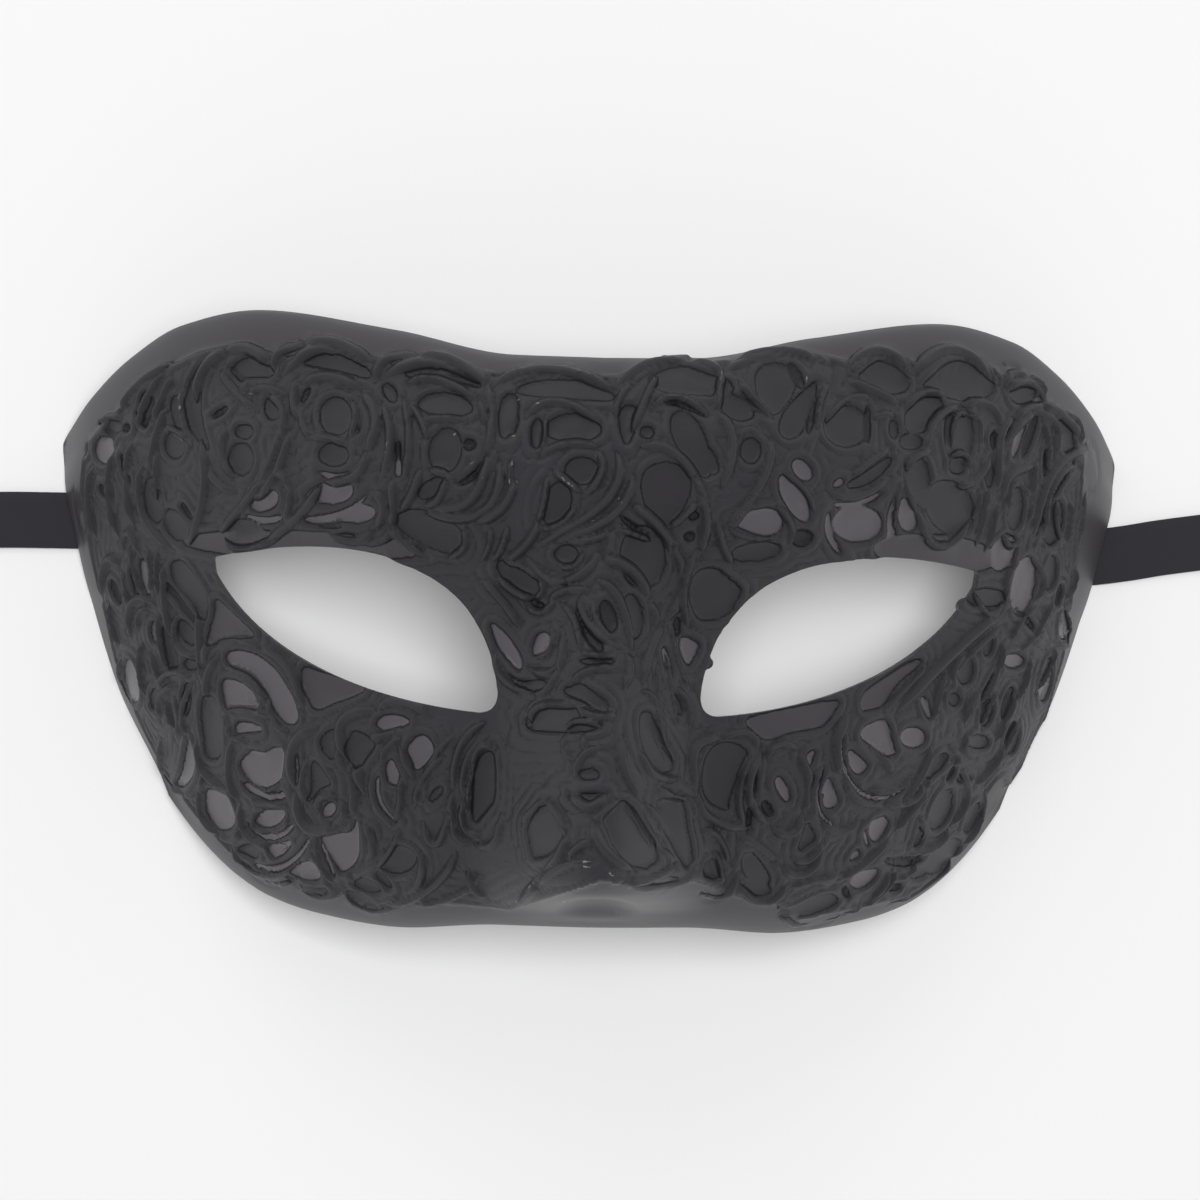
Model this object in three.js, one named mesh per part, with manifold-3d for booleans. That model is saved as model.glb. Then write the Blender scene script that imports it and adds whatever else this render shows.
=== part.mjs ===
// Masquerade half mask of moulded plastic, lying face up, with two tie ribbons.
// Millimetres, +Z up, +Y towards the brow. The origin is the middle of the mask's footprint on the table.
import * as THREE from 'three';
import { mergeVertices } from 'three/addons/utils/BufferGeometryUtils.js';
import Module from 'manifold-3d';

// Driving sizes of the mask
const MASK_WIDTH = 181.6;
const MASK_HEIGHT = 100.3;
const FACE_DEPTH = 66.5;
const NOSE_HEIGHT = 22;
const NOSE_WIDTH = 42;
const WALL = 1.6;
const TEMPLE_ANGLE = 84;
const JAW_ANGLE = 77.6;
const FACE_FULLNESS = 1.6;
const RIM_ROLL_WIDTH = 7;
const RIM_ROLL_DROP = 5;
const RIM_ROLL_STEEPNESS = 0.94;

// Driving sizes of the eye holes
const EYE_LENGTH = 46.8;
const EYE_HEIGHT = 26;
const EYE_SPACING = 78.4;
const EYE_CENTRE_Y = -1.1;

// Driving sizes of the swirl relief
const RELIEF_HEIGHT = 1.1;
const RELIEF_SINK = 0.7;
const RIDGE_STEPS = 6;
const RIDGE_BREADTH = 1.25;

// Driving sizes of the ribbons
const RIBBON_WIDTH = 9.6;
const RIBBON_THICKNESS = 1;
const RIBBON_GAP = 0.3;
const RIBBON_GLUED_LENGTH = 16;

// Grid of the shell: columns crowd at the nose, rows crowd at both rims, and the last columns form the temple edge
const COLUMNS = 38;
const ROWS = 24;
const NOSE_CROWDING = 0.38;
const RIM_CROWDING = 0.09;
const EDGE_STARTS = 0.8;
const FLAT_EDGE_STARTS = 0.93;
const NORMAL_STEP = 1.5;
const FACET_TOLERANCE = 0.08;

const degrees = THREE.MathUtils.degToRad;

// Smooth curve through a table of rows, each with a place and a value, which never overshoots a row
function through(rows, place, key, value) {
  const last = rows.length - 1;
  const at = THREE.MathUtils.clamp(place, rows[0][key], rows[last][key]);
  let i = 0;
  while (i < last - 1 && at > rows[i + 1][key]) i += 1;
  const slope = (a) => (rows[a + 1][value] - rows[a][value]) / (rows[a + 1][key] - rows[a][key]);
  const blend = (a, b) => (a * b > 0 ? (2 * a * b) / (a + b) : 0);
  const here = slope(i);
  const before = i > 0 ? blend(slope(i - 1), here) : here;
  const after = i < last - 1 ? blend(here, slope(i + 1)) : here;
  const span = rows[i + 1][key] - rows[i][key];
  const rise = rows[i + 1][value] - rows[i][value];
  const t = (at - rows[i][key]) / span;
  const bend = t * (1 - t) * ((before * span - rise) * (1 - t) - (after * span - rise) * t);
  return rows[i][value] + rise * t + bend;
}

// Rim of the mask: share across (0 middle, 1 temple), heights as shares of the mask height from its middle
const RIM_TOP = [
  { across: 0, y: 0.422 },
  { across: 0.107, y: 0.425 },
  { across: 0.25, y: 0.464 },
  { across: 0.448, y: 0.5 },
  { across: 0.571, y: 0.479 },
  { across: 0.679, y: 0.431 },
  { across: 0.81, y: 0.362 },
  { across: 0.905, y: 0.317 },
  { across: 1, y: 0.289 },
];
const RIM_BOTTOM = [
  { across: 0, y: -0.489 },
  { across: 0.17, y: -0.488 },
  { across: 0.36, y: -0.5 },
  { across: 0.55, y: -0.484 },
  { across: 0.67, y: -0.462 },
  { across: 0.76, y: -0.432 },
  { across: 0.86, y: -0.386 },
  { across: 1, y: -0.306 },
];

// Level sections of the face: height share, half breadth as a share of half the width, depth as a share
const SECTIONS = [
  { y: -0.5, breadth: 0.727, depth: 0.68 },
  { y: -0.458, breadth: 0.743, depth: 0.74 },
  { y: -0.383, breadth: 0.771, depth: 0.83 },
  { y: -0.299, breadth: 0.807, depth: 0.88 },
  { y: -0.129, breadth: 0.89, depth: 0.93 },
  { y: 0.04, breadth: 0.95, depth: 0.965 },
  { y: 0.14, breadth: 0.977, depth: 0.985 },
  { y: 0.21, breadth: 0.9956, depth: 1 },
  { y: 0.289, breadth: 1.0055, depth: 0.995 },
  { y: 0.4, breadth: 1.013, depth: 0.95 },
  { y: 0.5, breadth: 1.018, depth: 0.9 },
];

// Nose along its ridge: height share, rise as a share of the nose height, half breadth as a share of its width
const NOSE = [
  { y: -0.478, rise: 0, half: 0.48 },
  { y: -0.46, rise: 0.12, half: 0.49 },
  { y: -0.445, rise: 0.42, half: 0.5 },
  { y: -0.43, rise: 0.74, half: 0.5 },
  { y: -0.412, rise: 0.94, half: 0.5 },
  { y: -0.388, rise: 1, half: 0.5 },
  { y: -0.34, rise: 0.92, half: 0.49 },
  { y: -0.279, rise: 0.77, half: 0.45 },
  { y: -0.179, rise: 0.56, half: 0.41 },
  { y: -0.079, rise: 0.375, half: 0.375 },
  { y: 0.01, rise: 0.21, half: 0.34 },
  { y: 0.1, rise: 0.08, half: 0.3 },
  { y: 0.18, rise: 0, half: 0.27 },
];

// Swells and dips of the face, on both sides: places and sizes as shares of the width and the height
const SWELLS = [
  { name: 'eye socket', x: 0.215, y: 0, spreadX: 0.14, spreadY: 0.12, rise: -4.5 },
  { name: 'brow', x: 0.2, y: 0.25, spreadX: 0.16, spreadY: 0.1, rise: 2 },
  { name: 'cheek', x: 0.25, y: -0.3, spreadX: 0.1, spreadY: 0.13, rise: 2.5 },
];

// Temple edge: share up the edge, and how far it stands off the table, with an arch over the ribbon
const TEMPLE_EDGE = [
  { up: 0, lift: 4.7 },
  { up: 0.1, lift: 1.2 },
  { up: 0.2, lift: 0 },
  { up: 0.53, lift: 0 },
  { up: 0.61, lift: 1.7 },
  { up: 0.67, lift: 2.4 },
  { up: 0.83, lift: 2.4 },
  { up: 0.885, lift: 1.9 },
  { up: 0.945, lift: 0 },
  { up: 1, lift: 0 },
];

function sideAngle(up) {
  const settled = THREE.MathUtils.smoothstep(up, 0, 0.35);
  return THREE.MathUtils.lerp(JAW_ANGLE, TEMPLE_ANGLE, settled);
}

// Distance of a place from the rim above and below it, and its share across the face
function rimAt(angle, y) {
  let up = 0.5;
  let across = 0;
  let top = 0;
  let bottom = 0;
  for (let pass = 0; pass < 3; pass += 1) {
    across = Math.min(Math.abs(angle) / sideAngle(up), 1);
    top = through(RIM_TOP, across, 'across', 'y') * MASK_HEIGHT;
    bottom = through(RIM_BOTTOM, across, 'across', 'y') * MASK_HEIGHT;
    up = THREE.MathUtils.clamp((y - bottom) / (top - bottom), 0, 1);
  }
  return { across, up, above: top - y, below: y - bottom };
}

function rolledRim(distance) {
  const share = Math.max(1 - Math.max(distance, 0) / RIM_ROLL_WIDTH, 0);
  return RIM_ROLL_DROP * (1 - Math.sqrt(Math.max(1 - RIM_ROLL_STEEPNESS * share * share, 0)));
}

function noseRise(x, y) {
  const share = y / MASK_HEIGHT;
  const half = through(NOSE, share, 'y', 'half') * NOSE_WIDTH;
  const rise = Math.max(through(NOSE, share, 'y', 'rise'), 0) * NOSE_HEIGHT;
  const off = Math.min(Math.abs(x) / half, 1);
  return rise * Math.cos((Math.PI / 2) * off) ** 2;
}

function swellRise(x, y) {
  let rise = 0;
  for (const swell of SWELLS) {
    const across = (Math.abs(x) / MASK_WIDTH - swell.x) / swell.spreadX;
    const along = (y / MASK_HEIGHT - swell.y) / swell.spreadY;
    rise += swell.rise * Math.exp(-across * across - along * along);
  }
  return rise;
}

// Point of the outer face at an angle round the head (degrees, 0 in the middle) and a height
function facePoint(angle, y) {
  const share = y / MASK_HEIGHT;
  const breadth = (through(SECTIONS, share, 'y', 'breadth') * MASK_WIDTH) / 2;
  const depth = through(SECTIONS, share, 'y', 'depth') * FACE_DEPTH;
  const turn = degrees(angle);
  const x = breadth * Math.sin(turn);
  const rim = rimAt(angle, y);
  const roll = (rolledRim(rim.above) + rolledRim(rim.below)) * Math.cos(turn);
  const swell = swellRise(x, y);
  let z = depth * Math.cos(turn) ** FACE_FULLNESS - roll + noseRise(x, y) + swell * Math.cos(turn);
  const edgeAngle = degrees(sideAngle(rim.up));
  const edgeHeight = depth * Math.cos(edgeAngle) ** FACE_FULLNESS;
  const nearEdge = THREE.MathUtils.smoothstep(rim.across, EDGE_STARTS, 1);
  z += (through(TEMPLE_EDGE, rim.up, 'up', 'lift') - edgeHeight) * nearEdge;
  return new THREE.Vector3(x, y, Math.max(z, 0));
}

function faceNormal(angle, y) {
  const west = facePoint(Math.max(angle - NORMAL_STEP, -TEMPLE_ANGLE), y);
  const east = facePoint(Math.min(angle + NORMAL_STEP, TEMPLE_ANGLE), y);
  const round = east.sub(west);
  const rise = facePoint(angle, y + NORMAL_STEP).sub(facePoint(angle, y - NORMAL_STEP));
  return round.cross(rise).normalize();
}

function angleAt(x, y) {
  const breadth = (through(SECTIONS, y / MASK_HEIGHT, 'y', 'breadth') * MASK_WIDTH) / 2;
  const edge = Math.sin(degrees(TEMPLE_ANGLE));
  return THREE.MathUtils.radToDeg(Math.asin(THREE.MathUtils.clamp(x / breadth, -edge, edge)));
}

// Inner side of the wall. At the temples its edge is level with the outer edge, so that the mask stands flat.
function innerPoint(angle, y, inset) {
  const outer = facePoint(angle, y);
  const inner = outer.clone().addScaledVector(faceNormal(angle, y), -inset);
  const rim = rimAt(angle, y);
  const nearEdge = THREE.MathUtils.smoothstep(rim.across, FLAT_EDGE_STARTS, 1);
  inner.z = Math.max(THREE.MathUtils.lerp(inner.z, outer.z, nearEdge), 0);
  return inner;
}

// Closed solid from vertices and triangles, for the boolean joins and cuts
const wasm = await Module();
wasm.setup();

function solidFrom(geometry) {
  const bare = geometry.index ? geometry.toNonIndexed() : geometry.clone();
  bare.deleteAttribute('normal');
  bare.deleteAttribute('uv');
  const merged = mergeVertices(bare, 1e-5);
  const mesh = new wasm.Mesh({
    numProp: 3,
    vertProperties: new Float32Array(merged.attributes.position.array),
    triVerts: new Uint32Array(merged.index.array),
  });
  return new wasm.Manifold(mesh);
}

function geometryFrom(solid) {
  const mesh = solid.getMesh();
  const geometry = new THREE.BufferGeometry();
  geometry.setAttribute('position', new THREE.BufferAttribute(new Float32Array(mesh.vertProperties), 3));
  geometry.setIndex(new THREE.BufferAttribute(new Uint32Array(mesh.triVerts), 1));
  const faceted = geometry.toNonIndexed();
  faceted.computeVertexNormals();
  return faceted;
}

// Geometry from rows of points, each quad split in two
function quadsGeometry(quads) {
  const positions = [];
  for (const [a, b, c, d] of quads) {
    for (const corner of [a, b, c, a, c, d]) positions.push(corner.x, corner.y, corner.z);
  }
  const geometry = new THREE.BufferGeometry();
  geometry.setAttribute('position', new THREE.Float32BufferAttribute(positions, 3));
  return geometry;
}

// Closed bar through rings of four corners
function barGeometry(rings) {
  const last = rings.length - 1;
  const quads = [];
  for (let i = 0; i < last; i += 1) {
    for (let k = 0; k < 4; k += 1) {
      const next = (k + 1) % 4;
      quads.push([rings[i][k], rings[i + 1][k], rings[i + 1][next], rings[i][next]]);
    }
  }
  quads.push(rings[0]);
  quads.push([...rings[last]].reverse());
  return quadsGeometry(quads);
}

function columnShare(column) {
  const t = (2 * column) / COLUMNS - 1;
  return t * (1 - NOSE_CROWDING + NOSE_CROWDING * t * t);
}

function rowShare(row) {
  const t = row / ROWS;
  return t - RIM_CROWDING * Math.sin(2 * Math.PI * t);
}

function gridPlace(column, row) {
  const across = columnShare(column);
  const up = rowShare(row);
  const top = through(RIM_TOP, Math.abs(across), 'across', 'y') * MASK_HEIGHT;
  const bottom = through(RIM_BOTTOM, Math.abs(across), 'across', 'y') * MASK_HEIGHT;
  return { angle: across * sideAngle(up), y: THREE.MathUtils.lerp(bottom, top, up) };
}

function shellGeometry() {
  const outer = [];
  const inner = [];
  for (let i = 0; i <= COLUMNS; i += 1) {
    outer.push([]);
    inner.push([]);
    for (let j = 0; j <= ROWS; j += 1) {
      const place = gridPlace(i, j);
      outer[i].push(facePoint(place.angle, place.y));
      inner[i].push(innerPoint(place.angle, place.y, WALL));
    }
  }
  const quads = [];
  for (let i = 0; i < COLUMNS; i += 1) {
    for (let j = 0; j < ROWS; j += 1) {
      quads.push([outer[i][j], outer[i + 1][j], outer[i + 1][j + 1], outer[i][j + 1]]);
      quads.push([inner[i][j], inner[i][j + 1], inner[i + 1][j + 1], inner[i + 1][j]]);
    }
    quads.push([outer[i][0], inner[i][0], inner[i + 1][0], outer[i + 1][0]]);
    quads.push([outer[i][ROWS], outer[i + 1][ROWS], inner[i + 1][ROWS], inner[i][ROWS]]);
  }
  for (let j = 0; j < ROWS; j += 1) {
    quads.push([outer[0][j], outer[0][j + 1], inner[0][j + 1], inner[0][j]]);
    quads.push([outer[COLUMNS][j], inner[COLUMNS][j], inner[COLUMNS][j + 1], outer[COLUMNS][j + 1]]);
  }
  return quadsGeometry(quads);
}

// Almond eye hole as a prism, from four curves: shares of the eye's length and height from its middle
function eyeGeometry(side) {
  const place = (along, up) => [
    side * (EYE_SPACING / 2 + along * EYE_LENGTH),
    EYE_CENTRE_Y + up * EYE_HEIGHT,
  ];
  const shape = new THREE.Shape();
  shape.moveTo(...place(0.495, 0.425));
  shape.bezierCurveTo(...place(0.1, 0.577), ...place(-0.445, 0.552), ...place(-0.5, -0.377));
  shape.quadraticCurveTo(...place(-0.498, -0.495), ...place(-0.434, -0.5));
  shape.bezierCurveTo(...place(-0.154, -0.462), ...place(0.316, -0.27), ...place(0.502, 0.37));
  shape.closePath();
  const depth = FACE_DEPTH + NOSE_HEIGHT;
  return new THREE.ExtrudeGeometry(shape, { depth, bevelEnabled: false, curveSegments: 10 });
}

// The relief is charted on a front view, 1200 units square and seen from a point above the mask
const CHART = { middle: 600, maskWidth: 1052.8, maskHeight: 581.5, turn: 1.05, middleY: 4.05 };
const CHART_SEARCH = { passes: 12, stride: 0.7 };
const VIEW = { height: 700, x: -22.8, lookX: 1.97 };

function chartPlace(x, y) {
  const turn = degrees(CHART.turn);
  const dx = x - CHART.middle;
  const dy = y - CHART.middle;
  const right = ((dx * Math.cos(turn) + dy * Math.sin(turn)) * MASK_WIDTH) / CHART.maskWidth;
  const up = ((dx * Math.sin(turn) - dy * Math.cos(turn)) * MASK_HEIGHT) / CHART.maskHeight;
  const reach = Math.hypot(VIEW.height, VIEW.lookX - VIEW.x);
  const lean = Math.atan2(VIEW.lookX - VIEW.x, VIEW.height);
  const stretch = VIEW.height / (reach * Math.cos(lean) - right * Math.sin(lean));
  const eye = new THREE.Vector2(VIEW.x, CHART.middleY);
  const toTable = new THREE.Vector2(reach * Math.sin(lean) + right * Math.cos(lean), up);
  const onTable = eye.clone().addScaledVector(toTable, stretch);
  const guess = onTable.clone();
  let place = null;
  for (let pass = 0; pass < CHART_SEARCH.passes; pass += 1) {
    const angle = angleAt(guess.x, guess.y);
    const point = facePoint(angle, guess.y);
    const wanted = onTable.clone().lerp(eye, point.z / VIEW.height);
    guess.x += (wanted.x - point.x) * CHART_SEARCH.stride;
    guess.y += (wanted.y - point.y) * CHART_SEARCH.stride;
    place = { angle, y: guess.y, point };
  }
  return place;
}

// Main strands of the relief: arcs between two places of the chart, bowed to the left of the way they run
const STRAND_COLUMNS = ['fromX', 'fromY', 'toX', 'toY', 'bow', 'width'];
const STRANDS = [
  [283, 378, 379, 372, 27, 13],
  [381, 380, 490, 387, 20, 13],
  [494, 391, 614, 393, 21, 14],
  [615, 397, 722, 378, 24, 15],
  [724, 374, 832, 366, 15, 12],
  [846, 382, 914, 376, 24, 13],
  [914, 390, 997, 386, 34, 14],
  [999, 393, 1046, 406, 18, 11],
  [1001, 448, 1084, 448, 40, 12],
  [90, 440, 166, 374, 12, 10],
  [291, 428, 224, 530, -10, 10],
  [378, 395, 318, 514, 28, 13],
  [232, 529, 372, 478, -20, 11],
  [400, 392, 492, 430, 18, 12],
  [395, 512, 470, 560, -14, 11],
  [470, 562, 546, 500, -14, 11],
  [662, 420, 714, 490, -4, 10],
  [641, 504, 700, 572, 6, 12],
  [712, 492, 664, 640, 14, 14],
  [486, 620, 530, 690, -12, 10],
  [556, 800, 572, 850, 6, 10],
  [620, 798, 664, 862, 4, 11],
  [520, 900, 600, 858, 8, 11],
  [214, 668, 314, 714, 46, 13],
  [168, 772, 300, 868, -34, 11],
  [193, 690, 198, 780, -4, 10],
  [792, 884, 960, 742, -24, 12],
  [876, 706, 1004, 602, -12, 13],
  [1062, 450, 1030, 545, -6, 10],
];

// Main curls of the relief: elliptic arcs about a place of the chart. Degrees run clockwise from the right
const CURL_COLUMNS = ['x', 'y', 'acrossX', 'acrossY', 'from', 'sweep', 'tighten', 'width'];
const CURLS = [
  [240, 398, 43, 49, 150, 165, 1, 14],
  [240, 437, 24, 39, 200, 300, 0.8, 11],
  [178, 488, 32, 62, 60, 200, 1, 11],
  [338, 420, 27, 28, 110, 310, 1, 12],
  [450, 446, 42, 52, -70, 180, 1, 13],
  [445, 440, 66, 74, -20, 120, 1, 13],
  [562, 470, 52, 62, -150, 235, 1, 13],
  [566, 548, 44, 38, -5, 190, 1, 10],
  [547, 642, 34, 42, -70, 250, 0.75, 12],
  [622, 612, 33, 50, 90, 340, 1, 10],
  [490, 790, 25, 50, 40, 250, 1, 12],
  [418, 782, 44, 52, -80, -200, 1, 13],
  [350, 798, 54, 74, -120, -160, 1, 13],
  [266, 775, 38, 40, 20, 150, 1, 10],
  [738, 785, 42, 52, -60, -215, 1, 13],
  [792, 808, 46, 58, 15, 140, 1, 12],
  [840, 790, 28, 36, -120, -190, 1, 10],
  [878, 744, 44, 54, 190, -160, 1, 12],
  [962, 446, 30, 46, 170, 300, 1, 11],
  [850, 424, 28, 30, 90, 330, 1, 11],
  [862, 524, 32, 32, -80, 260, 1, 11],
  [936, 478, 50, 66, 0, 150, 1, 12],
];

function named(columns, row) {
  return Object.fromEntries(columns.map((column, i) => [column, row[i]]));
}

function strandPlace(strand, t) {
  const dx = strand.toX - strand.fromX;
  const dy = strand.toY - strand.fromY;
  const length = Math.hypot(dx, dy);
  const off = strand.bow * 4 * t * (1 - t);
  return [strand.fromX + dx * t + (off * dy) / length, strand.fromY + dy * t - (off * dx) / length];
}

function curlPlace(curl, t) {
  const turn = degrees(curl.from + curl.sweep * t);
  const shrink = THREE.MathUtils.lerp(1, curl.tighten, t);
  return [curl.x + curl.acrossX * shrink * Math.cos(turn), curl.y + curl.acrossY * shrink * Math.sin(turn)];
}

// One raised ridge: a flat-topped bar laid on the face, thinner towards both ends
function ridgeGeometry(placeAt, steps, width) {
  const halfWidth = (width / 2) * RIDGE_BREADTH * (MASK_WIDTH / CHART.maskWidth);
  const spine = [];
  for (let i = 0; i <= steps; i += 1) {
    const place = chartPlace(...placeAt(i / steps));
    spine.push({ point: place.point, normal: faceNormal(place.angle, place.y) });
  }
  const rings = spine.map(({ point, normal }, i) => {
    const ahead = spine[Math.min(i + 1, steps)].point;
    const behind = spine[Math.max(i - 1, 0)].point;
    const side = ahead.clone().sub(behind).cross(normal).normalize();
    const isEnd = i === 0 || i === steps;
    const half = halfWidth * (isEnd ? 0.6 : 1);
    const height = RELIEF_HEIGHT * (isEnd ? 0.2 : 1);
    const corner = (across, rise) => point.clone().addScaledVector(side, across).addScaledVector(normal, rise);
    return [
      corner(-half, -RELIEF_SINK),
      corner(half, -RELIEF_SINK),
      corner(half / 2, height),
      corner(-half / 2, height),
    ];
  });
  return barGeometry(rings);
}

function reliefSolids() {
  const strands = STRANDS.map((row) => named(STRAND_COLUMNS, row));
  const curls = CURLS.map((row) => named(CURL_COLUMNS, row));
  const bars = [];
  for (const strand of strands) {
    bars.push(ridgeGeometry((t) => strandPlace(strand, t), RIDGE_STEPS, strand.width));
  }
  for (const curl of curls) {
    const steps = Math.ceil((RIDGE_STEPS * Math.abs(curl.sweep)) / 200) + 2;
    bars.push(ridgeGeometry((t) => curlPlace(curl, t), steps, curl.width));
  }
  return bars.map(solidFrom);
}

const moulding = new THREE.MeshStandardMaterial({ color: 0x1c1c1e, roughness: 0.55, metalness: 0 });
const satin = new THREE.MeshStandardMaterial({ color: 0x2b2b2f, roughness: 0.38, metalness: 0 });

function maskShell() {
  let solid = solidFrom(shellGeometry());
  for (const ridge of reliefSolids()) solid = solid.add(ridge);
  for (const side of [-1, 1]) solid = solid.subtract(solidFrom(eyeGeometry(side)));
  solid = solid.simplify(FACET_TOLERANCE);
  const mesh = new THREE.Mesh(geometryFrom(solid), moulding);
  mesh.name = 'mask_shell';
  return mesh;
}

// The ribbons. Each is glued flat inside a temple, bends out under the edge's arch and lies on the table.
// In the glued stretch, "angle" is the place round the face; outside, "out" is the distance past the edge
const RIBBONS = [
  {
    name: 'ribbon_left',
    side: -1,
    glueY: 16,
    run: [
      { out: 5, y: 16 },
      { out: 13, y: 15.9 },
      { out: 28, y: 15.2 },
      { out: 44, y: 13.4 },
      { out: 59, y: 10.6 },
    ],
  },
  {
    name: 'ribbon_right',
    side: 1,
    glueY: 13,
    run: [
      { out: 5, y: 13.8 },
      { out: 13, y: 15.2 },
      { out: 28, y: 17.2 },
      { out: 44, y: 18.4 },
      { out: 59, y: 18.2 },
    ],
  },
];

// The bend under the temple edge: how far out from the glued stretch's foot, how high, and how far turned up
const RIBBON_BEND = [
  { out: 0.1, height: 2.6, turned: 0.15 },
  { out: 0.8, height: 1.1, turned: 0.6 },
  { out: 2.2, height: 0.5, turned: 1 },
];

function gluedStretch(side, y) {
  const inset = WALL + RIBBON_GAP + RIBBON_THICKNESS / 2;
  const stretch = [];
  for (let angle = TEMPLE_ANGLE - 3; angle > 40; angle -= 3.5) {
    const point = innerPoint(side * angle, y, inset);
    stretch.unshift({ point, normal: faceNormal(side * angle, y) });
    if (point.distanceTo(stretch[stretch.length - 1].point) > RIBBON_GLUED_LENGTH) break;
  }
  return stretch;
}

function ribbonSpine({ side, glueY, run }) {
  const spine = gluedStretch(side, glueY);
  const foot = spine[spine.length - 1];
  const upward = new THREE.Vector3(0, 0, 1);
  for (const { out, height, turned } of RIBBON_BEND) {
    const point = new THREE.Vector3(foot.point.x + side * out, glueY, height * RIBBON_THICKNESS);
    spine.push({ point, normal: foot.normal.clone().lerp(upward, turned).normalize() });
  }
  const edgeX = facePoint(side * TEMPLE_ANGLE, glueY).x;
  const bends = run.map(({ out, y }) => new THREE.Vector3(edgeX + side * out, y, RIBBON_THICKNESS / 2));
  const last = spine[spine.length - 1].point;
  const route = new THREE.CatmullRomCurve3([last, ...bends]);
  const steps = 8;
  for (let i = 1; i <= steps; i += 1) spine.push({ point: route.getPointAt(i / steps), normal: upward });
  return spine;
}

function ribbonGeometry(ribbon) {
  const spine = ribbonSpine(ribbon);
  const last = spine.length - 1;
  const rings = spine.map(({ point, normal }, i) => {
    const ahead = spine[Math.min(i + 1, last)].point;
    const behind = spine[Math.max(i - 1, 0)].point;
    const along = ahead.clone().sub(behind).normalize();
    const side = along.clone().cross(normal).normalize();
    const face = side.clone().cross(along).normalize();
    const corner = (across, rise) => point.clone().addScaledVector(side, across).addScaledVector(face, rise);
    const half = RIBBON_WIDTH / 2;
    const lift = RIBBON_THICKNESS / 2;
    return [corner(-half, -lift), corner(half, -lift), corner(half, lift), corner(-half, lift)];
  });
  return barGeometry(rings);
}

function ribbonMesh(ribbon) {
  const geometry = ribbonGeometry(ribbon);
  geometry.computeVertexNormals();
  const mesh = new THREE.Mesh(geometry, satin);
  mesh.name = ribbon.name;
  return mesh;
}

const group = new THREE.Group();
group.add(maskShell());
for (const ribbon of RIBBONS) group.add(ribbonMesh(ribbon));

export default group;
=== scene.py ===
"""Looks of a moulded masquerade half mask that lies face up on a table, with its two satin tie ribbons.

The face is worked out in millimetres with the same named sizes as the CAD part, and every mesh is in metres.
The relief is charted on a front view of 1200 by 1200 units, seen from the camera.
"""

import math

import bpy
import numpy as np
from mathutils import Matrix, Vector


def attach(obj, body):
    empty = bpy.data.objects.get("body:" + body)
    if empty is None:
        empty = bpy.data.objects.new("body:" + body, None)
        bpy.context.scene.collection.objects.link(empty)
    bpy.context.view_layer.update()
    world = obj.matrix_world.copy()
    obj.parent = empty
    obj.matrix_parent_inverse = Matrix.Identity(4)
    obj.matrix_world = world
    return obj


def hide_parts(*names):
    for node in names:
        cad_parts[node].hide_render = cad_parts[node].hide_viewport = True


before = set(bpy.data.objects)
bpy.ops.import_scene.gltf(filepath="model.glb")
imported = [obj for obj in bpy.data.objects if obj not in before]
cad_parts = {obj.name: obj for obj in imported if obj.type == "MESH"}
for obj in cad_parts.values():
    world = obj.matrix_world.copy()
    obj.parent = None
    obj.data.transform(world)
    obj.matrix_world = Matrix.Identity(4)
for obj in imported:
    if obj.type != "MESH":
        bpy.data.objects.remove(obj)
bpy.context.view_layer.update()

MM = 0.001

# ---- Sizes of the face, in millimetres and degrees
MASK_WIDTH = 181.6
MASK_HEIGHT = 100.3
FACE_DEPTH = 66.5
NOSE_HEIGHT = 22.0
NOSE_WIDTH = 42.0
WALL = 1.6
TEMPLE_ANGLE = 84.0
JAW_ANGLE = 77.6
JAW_SETTLES = 0.35
FACE_FULLNESS = 1.6
RIM_ROLL_WIDTH = 7.0
RIM_ROLL_DROP = 5.0
RIM_ROLL_STEEPNESS = 0.94
EDGE_STARTS = 0.8
FLAT_EDGE_STARTS = 0.93
NORMAL_STEP = 1.5

# ---- Sizes of the eye holes
EYE_LENGTH = 46.8
EYE_HEIGHT = 26.0
EYE_SPACING = 78.4
EYE_CENTRE_Y = -1.1

# Rim: share across (0 middle, 1 temple), height share from the middle of the mask
RIM_TOP = [
    (0, 0.422), (0.107, 0.425), (0.25, 0.464), (0.448, 0.5), (0.571, 0.479),
    (0.679, 0.431), (0.81, 0.362), (0.905, 0.317), (1, 0.289),
]
RIM_BOTTOM = [
    (0, -0.489), (0.17, -0.488), (0.36, -0.5), (0.55, -0.484),
    (0.67, -0.462), (0.76, -0.432), (0.86, -0.386), (1, -0.306),
]
# Level sections: height share, half breadth and depth as shares
BREADTH = [
    (-0.5, 0.727), (-0.458, 0.743), (-0.383, 0.771), (-0.299, 0.807), (-0.129, 0.89), (0.04, 0.95),
    (0.14, 0.977), (0.21, 0.9956), (0.289, 1.0055), (0.4, 1.013), (0.5, 1.018),
]
DEPTH = [
    (-0.5, 0.68), (-0.458, 0.74), (-0.383, 0.83), (-0.299, 0.88), (-0.129, 0.93), (0.04, 0.965),
    (0.14, 0.985), (0.21, 1), (0.289, 0.995), (0.4, 0.95), (0.5, 0.9),
]
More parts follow.
